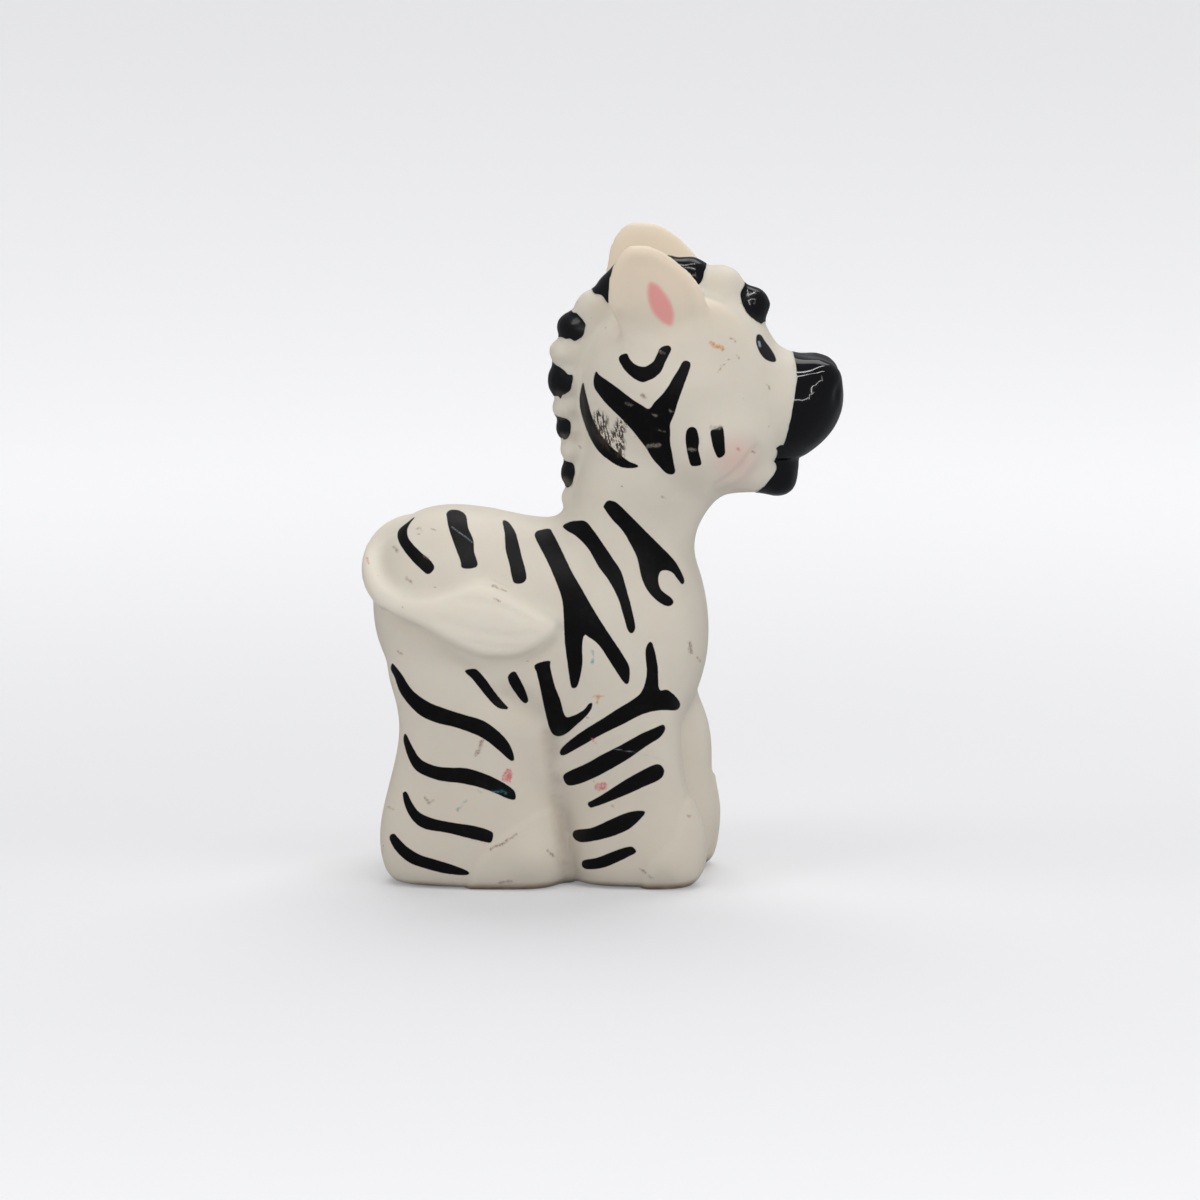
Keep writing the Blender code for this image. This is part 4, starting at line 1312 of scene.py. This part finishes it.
skinLook = {
    "vinyl": (220, 213, 199),
    # darker vinyl: random clouding, and painted shade low down
    "vinylDullAndShade": (206, 197, 182),
    # paler vinyl of the tail: cleaner, with painted light on its raised top
    "vinylCleanAndLit": (240, 233, 219),
    # warm vinyl of the ears: yellowed, and painted paler for light shining through them
    "vinylWarmAndBacklit": (232, 216, 193),
    "stripe": (9, 8, 10),
    "stripeWorn": (26, 24, 26),
    "dragged": (54, 42, 36),
    "eye": (36, 36, 38),
    "pink": (230, 158, 153),
    "blush": (218, 178, 168),
    # brown dirt for the specks, also used for the painted contact shadow at the base and the painted shade
    # in the groove
    "grimeAndShade": (128, 104, 80),
    "marks": {              # colour and how strongly it covers
        "brownMarks": ((120, 90, 62), 0.75),
        "orangeMarks": ((204, 144, 80), 0.9),
        "redMarks": ((204, 104, 108), 0.85),
        "tealMarks": ((60, 146, 158), 0.85),
        "paleMarks": ((150, 142, 130), 0.6),
        "glint": ((172, 184, 194), 0.9),
    },
    "grains": {             # noise: scale, detail and roughness
        "cloudy": (90.0, 4.0),
        "contactShadowGrain": (220.0,),
        "grooveShade": (500.0, 4.0),
        "specks": (1100.0, 1.0),
        "pinkEdge": (700.0,),
        "stripeEdge": (1800.0, 2.0),
        "worn": (1100.0, 6.0, 0.75),
        "streaks": (3000.0, 3.0, 0.7),
        "scrapeEdge": (900.0,),
        "ragged": (2200.0, 3.0),
        "patchy": (3000.0, 4.0, 0.7),
        "fine": (2600.0, 2.0),
    },
    "ramps": {              # from, to, and what is given there
        "cloudy": (0.35, 0.75, 0.0, 0.4),
        "blush": (0.1, 1.0, 0.5, 0.0),
        "earHeight": (0.060, 0.070),
        "earAside": (0.004, 0.006),
        "tail": (-8.0, 3.0, 0.6, 0.0),
        "lowerShade": (0.006, 0.034, 0.5, 0.0),
        "contactShadowHeight": (0.0001, 0.0011, 1.0, 0.0),
        "contactShadowGrain": (0.3, 0.6, 0.35, 0.85),
        "groove": (1.0, 13.0, 0.26, 0.0),
        "grooveShade": (0.3, 0.65, 0.3, 1.0),
        "specks": (0.78, 0.82, 0.0, 0.45),
        "pinkEdge": (0, 1, -1.0, 1.0),
        "pink": (-2.4, 3.4, 0.95, 0.0),
        "stripeEdge": (0, 1, -0.3, 0.3),
        "printed": (-0.15, 0.75, 1.0, 0.0),
        "worn": (0.50, 0.78),
        "streaks": (0.44, 0.51),
        "scrapeEdge": (0, 1, -5.0, 5.0),
        "scrape": (-1.0, 4.5, 0.95, 0.0),
        "eye": (-0.4, 0.4, 1.0, 0.0),
        "ragged": (0.25, 0.75, -1.4, 1.4),
        "patchy": (0.40, 0.58, 0.45, 1.0),
        "mark": (-1.6, 1.0),
    },
    "streakTurn": (0, 0.35, 0),
    "streakScale": (1.0, 1.0, 0.35),
    "earTone": 0.8,
    "roughness": 0.46,
    "specular": 0.22,
    "scatter": 0.22,
    "scatterReach": (1.0, 0.62, 0.42),
    "scatterScale": 0.0018,
    "bump": (0.05, 0.0002),     # strength and distance
}


def skinMaterial():
    material, tree, shader = newMaterial("printedVinyl")
    where = objectPlace(tree)

    def stored(name):
        return addNode(tree, "Attribute", {"attribute_name": name}).outputs["Fac"]

    def over(colour, share, name):
        return mixColour(tree, share, colour, linear(*skinLook[name]))

    def grain(name, place=where):
        return noiseOf(tree, place, *skinLook["grains"][name])

    def sloped(value, name, soft=True):
        return ramp(tree, value, *skinLook["ramps"][name], soft=soft)

    def combined(a, b, operation="MULTIPLY"):
        return mathOf(tree, operation, a, b)

    colour = over(linear(*skinLook["vinyl"]), sloped(grain("cloudy"), "cloudy"), "vinylDullAndShade")
    colour = over(colour, sloped(stored("blushDistance"), "blush"), "blush")
    parts = addNode(tree, "SeparateXYZ", None, i0=where).outputs
    height, aside = parts["Z"], mathOf(tree, "ABSOLUTE", parts["Y"])
    # the ears are painted warmer and paler: yellowed vinyl, and painted light shining through the thin ears
    ear = combined(sloped(height, "earHeight"), sloped(aside, "earAside"))
    colour = over(colour, combined(ear, skinLook["earTone"]), "vinylWarmAndBacklit")
    # the tail is painted paler: cleaner vinyl, and painted light on its raised top
    colour = over(colour, sloped(stored("tailDistance"), "tail"), "vinylCleanAndLit")

    # painted shade: the lower part is painted darker towards the base
    colour = over(colour, sloped(height, "lowerShade"), "vinylDullAndShade")
    # a painted contact shadow along the base, broken up by noise
    colour = over(colour, combined(sloped(height, "contactShadowHeight"), sloped(grain("contactShadowGrain"), "contactShadowGrain")), "grimeAndShade")
    # painted shade in the groove between the legs, broken up by noise
    grooveShade = combined(sloped(stored("grooveDistance"), "groove"), sloped(grain("grooveShade"), "grooveShade"))
    colour = over(colour, grooveShade, "grimeAndShade")
    # dirt in specks
    colour = over(colour, sloped(grain("specks"), "specks"), "grimeAndShade")

    pink = combined(stored("pinkDistance"), sloped(grain("pinkEdge"), "pinkEdge", False), "ADD")
    colour = over(colour, sloped(pink, "pink"), "pink")
    edge = combined(stored("stripeDistance"), sloped(grain("stripeEdge"), "stripeEdge", False), "ADD")
    ink = over(linear(*skinLook["stripe"]), sloped(grain("worn"), "worn"), "stripeWorn")
    colour = mixColour(tree, sloped(edge, "printed"), colour, ink)

    # ink dragged across the nape in streaks
    streaky = addNode(
        tree, "Mapping", None, Vector=where,
        Rotation=skinLook["streakTurn"], Scale=skinLook["streakScale"],
    ).outputs[0]
    zone = combined(stored("scrapeDistance"), sloped(grain("scrapeEdge"), "scrapeEdge", False), "ADD")
    streaks = sloped(grain("streaks", streaky), "streaks")
    colour = over(colour, combined(streaks, sloped(zone, "scrape")), "dragged")

    colour = over(colour, sloped(stored("eyeDistance"), "eye"), "eye")
    ragged = sloped(grain("ragged"), "ragged", False)
    patchy = sloped(grain("patchy"), "patchy")
    for name, (shade, cover) in skinLook["marks"].items():
        reach = stored(name)
        if name != "glint":
            reach = combined(reach, ragged, "ADD")
        share = ramp(tree, reach, *skinLook["ramps"]["mark"], cover, 0.0)
        if name != "glint":
            share = combined(share, patchy)
        colour = mixColour(tree, share, colour, linear(*shade))
    tree.links.new(colour, shader.inputs["Base Color"])

    shader.inputs["Roughness"].default_value = skinLook["roughness"]
    shader.inputs["Specular IOR Level"].default_value = skinLook["specular"]
    shader.inputs["Subsurface Weight"].default_value = skinLook["scatter"]
    shader.inputs["Subsurface Radius"].default_value = skinLook["scatterReach"]
    shader.inputs["Subsurface Scale"].default_value = skinLook["scatterScale"]
    strength, distance = skinLook["bump"]
    bump = addNode(tree, "Bump", None, Strength=strength, Distance=distance, Height=grain("fine"))
    tree.links.new(bump.outputs["Normal"], shader.inputs["Normal"])
    return material


paintLook = {
    "black": (6, 6, 8),
    "roughness": 0.07,      # of the muzzle, then of the mane in front and behind
    "maneRoughness": 0.15,
    "napeRoughness": 0.35,
    "specular": 0.6,
    "waves": 0.35,          # unevenness of the muzzle, then of the mane
    "maneWaves": 0.03,
    "waveScale": 450.0,
    "waveHeight": 0.0004,
    "nape": (0.002, 0.008),         # how far forward the mane and then the muzzle begin
    "muzzle": (0.0165, 0.019),
}


def paintMaterial():
    material, tree, shader = newMaterial("glossBlackPaint")
    where = objectPlace(tree)
    shader.inputs["Base Color"].default_value = linear(*paintLook["black"])
    forward = addNode(tree, "SeparateXYZ", None, i0=where).outputs["X"]
    dull = paintLook["napeRoughness"]
    nape = ramp(tree, forward, *paintLook["nape"], dull, paintLook["maneRoughness"])
    muzzle = ramp(tree, forward, *paintLook["muzzle"], dull, paintLook["roughness"])
    tree.links.new(mathOf(tree, "MINIMUM", nape, muzzle), shader.inputs["Roughness"])
    shader.inputs["Specular IOR Level"].default_value = paintLook["specular"]
    livelier = ramp(tree, forward, *paintLook["muzzle"], paintLook["maneWaves"], paintLook["waves"])
    waves = noiseOf(tree, where, paintLook["waveScale"], 0.0)
    bump = addNode(tree, "Bump", None, Strength=livelier, Distance=paintLook["waveHeight"], Height=waves)
    tree.links.new(bump.outputs["Normal"], shader.inputs["Normal"])
    return material


plugLook = {
    "plain": (208, 201, 187),
    "dull": (184, 174, 157),
    "grain": 300.0,
    "dulling": (0.3, 0.8, 0.0, 0.6),
    "roughness": 0.55,
}


def plugMaterial():
    material, tree, shader = newMaterial("plugPlastic")
    share = ramp(tree, noiseOf(tree, objectPlace(tree), plugLook["grain"]), *plugLook["dulling"])
    colour = mixColour(tree, share, linear(*plugLook["plain"]), linear(*plugLook["dull"]))
    tree.links.new(colour, shader.inputs["Base Color"])
    shader.inputs["Roughness"].default_value = plugLook["roughness"]
    return material


# finishing: metres, smooth shading, riding and slots
def finished(item, name, material, nodes):
    item.name = name
    item.data.transform(Matrix.Scale(mm, 4))
    item.data.materials.clear()
    item.data.materials.append(material)
    item.data.polygons.foreach_set("use_smooth", [True] * len(item.data.polygons))
    item.data.set_sharp_from_angle(angle=math.radians(softness["sharpAngle"]))
    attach(item, "root")
    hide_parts(*nodes)


vinyl, gloss, plug = skinMaterial(), paintMaterial(), plugMaterial()
whiteNodes = ["body_shell", "ear_right", "ear_left", "tail"]
whiteNodes += [f"mane_tuft_white_{i}" for i in range(1, 9)]
finished(skin, "printed_skin", vinyl, whiteNodes)
for name, piece in pieces.items():
    node = name.replace("mane_black", "mane_tuft_black")
    finished(piece, name + "_paint", gloss, [node])
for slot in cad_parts["base_plug"].material_slots:
    slot.material = plug
print("stage: finished pieces")


# floor and light
studio = {
    "floor": (205, 205, 208),
    "floorHalf": 4.0,
    "floorRoughness": 0.7,
    # the lift is smaller by the feet, a painted shadow round them, and smaller far off, painted shade there
    "lift": (0.20, 0.385, 0.045),    # how much paler the floor shows: by the feet, near, less far off
    "liftReach": (0.06, 0.4, 0.6, 1.4),     # metres from the feet at which these begin and end
    "sky": (236, 240, 247),
    "skyStrength": 0.18,
    "shown": (240, 240, 243),
    "lampColour": (1.0, 0.99, 0.975),
    "soft": [               # name, from, spread, strength
        ("dome", (0.0, 0.0, 1.0), 110, 0.22),
        ("behind", (0.0, 1.0, 0.9), 60, 1.55),
        ("rumpSide", (-1.0, -0.4, 0.3), 50, 1.0),
        ("headSide", (1.0, -0.4, 0.25), 50, 0.92),
        ("frontSide", (0.2, -1.0, 0.15), 50, 0.5),
    ],
    "strips": [             # name, place, aim, size, watts
        ("backPanel", (0.05, 0.35, 0.45), (0.0, 0, 0.05), (0.35, 0.20), 0.27),
        ("topStrip", (0.05, -0.02, 0.55), (0.02, 0, 0.05), (0.50, 0.020), 0.46),
        ("topFrontStrip", (0.05, -0.24, 0.51), (0.02, 0, 0.05), (0.50, 0.020), 0.44),
        ("frontStrip", (0.20, -0.50, 0.25), (0.02, 0, 0.05), (0.34, 0.012), 0.17),
        ("sideStrip", (0.38, -0.45, 0.36), (0.02, 0, 0.05), (0.009, 0.30), 0.10),
    ],
}


def addFloor():
    mesh = bmesh.new()
    bmesh.ops.create_grid(mesh, x_segments=1, y_segments=1, size=studio["floorHalf"])
    floor = objectFrom(mesh, "floor")
    material, tree, shader = newMaterial("paleFloor")
    shader.inputs["Base Color"].default_value = linear(*studio["floor"])
    shader.inputs["Roughness"].default_value = studio["floorRoughness"]
    away = addNode(tree, "VectorMath", {"operation": "LENGTH"}, i0=objectPlace(tree)).outputs["Value"]
    # less paleness by the feet paints a shadow round them, less far off paints shade there
    feet, near, less = studio["lift"]
    start, full, turn, far = studio["liftReach"]
    lift = mathOf(tree, "SUBTRACT", ramp(tree, away, start, full, feet, near),
                  ramp(tree, away, turn, far, 0.0, less))
    seen = mathOf(tree, "MULTIPLY", lift, addNode(tree, "LightPath").outputs["Is Camera Ray"])
    tree.links.new(seen, shader.inputs["Emission Strength"])
    shader.inputs["Emission Color"].default_value = (1.0, 1.0, 1.0, 1.0)
    floor.data.materials.append(material)
    floor.visible_glossy = False


def addWorld():
    world = bpy.data.worlds.new("studio")
    world.use_nodes = True
    tree = world.node_tree
    lit = tree.nodes["Background"]
    lit.inputs["Color"].default_value = linear(*studio["sky"])
    lit.inputs["Strength"].default_value = studio["skyStrength"]
    shown = addNode(tree, "Background", None, Color=linear(*studio["shown"]), Strength=1.0)
    rays = addNode(tree, "LightPath").outputs["Is Camera Ray"]
    mix = addNode(tree, "MixShader", None, i0=rays, i1=lit.outputs[0], i2=shown.outputs[0])
    tree.links.new(mix.outputs[0], tree.nodes["World Output"].inputs["Surface"])
    bpy.context.scene.world = world


def addLamp(name, kind, place, way, watts):
    data = bpy.data.lights.new(name, kind)
    data.energy = watts
    lamp = bpy.data.objects.new(name, data)
    bpy.context.scene.collection.objects.link(lamp)
    lamp.location = place
    lamp.rotation_euler = Vector(way).to_track_quat("Z", "Y").to_euler()
    return lamp


# wide soft light from above and the sides, and strips that draw thin lines on the gloss
def addLamps():
    for name, source, spread, strength in studio["soft"]:
        lamp = addLamp(name, "SUN", (0, 0, 1), source, strength)
        lamp.data.angle = math.radians(spread)
        lamp.data.color = studio["lampColour"]
        lamp.visible_glossy = False
    for name, place, aim, size, watts in studio["strips"]:
        strip = addLamp(name, "AREA", place, Vector(place) - Vector(aim), watts)
        strip.data.shape = "RECTANGLE"
        strip.data.size, strip.data.size_y = size


addFloor()
addWorld()
addLamps()
print("stage: studio")
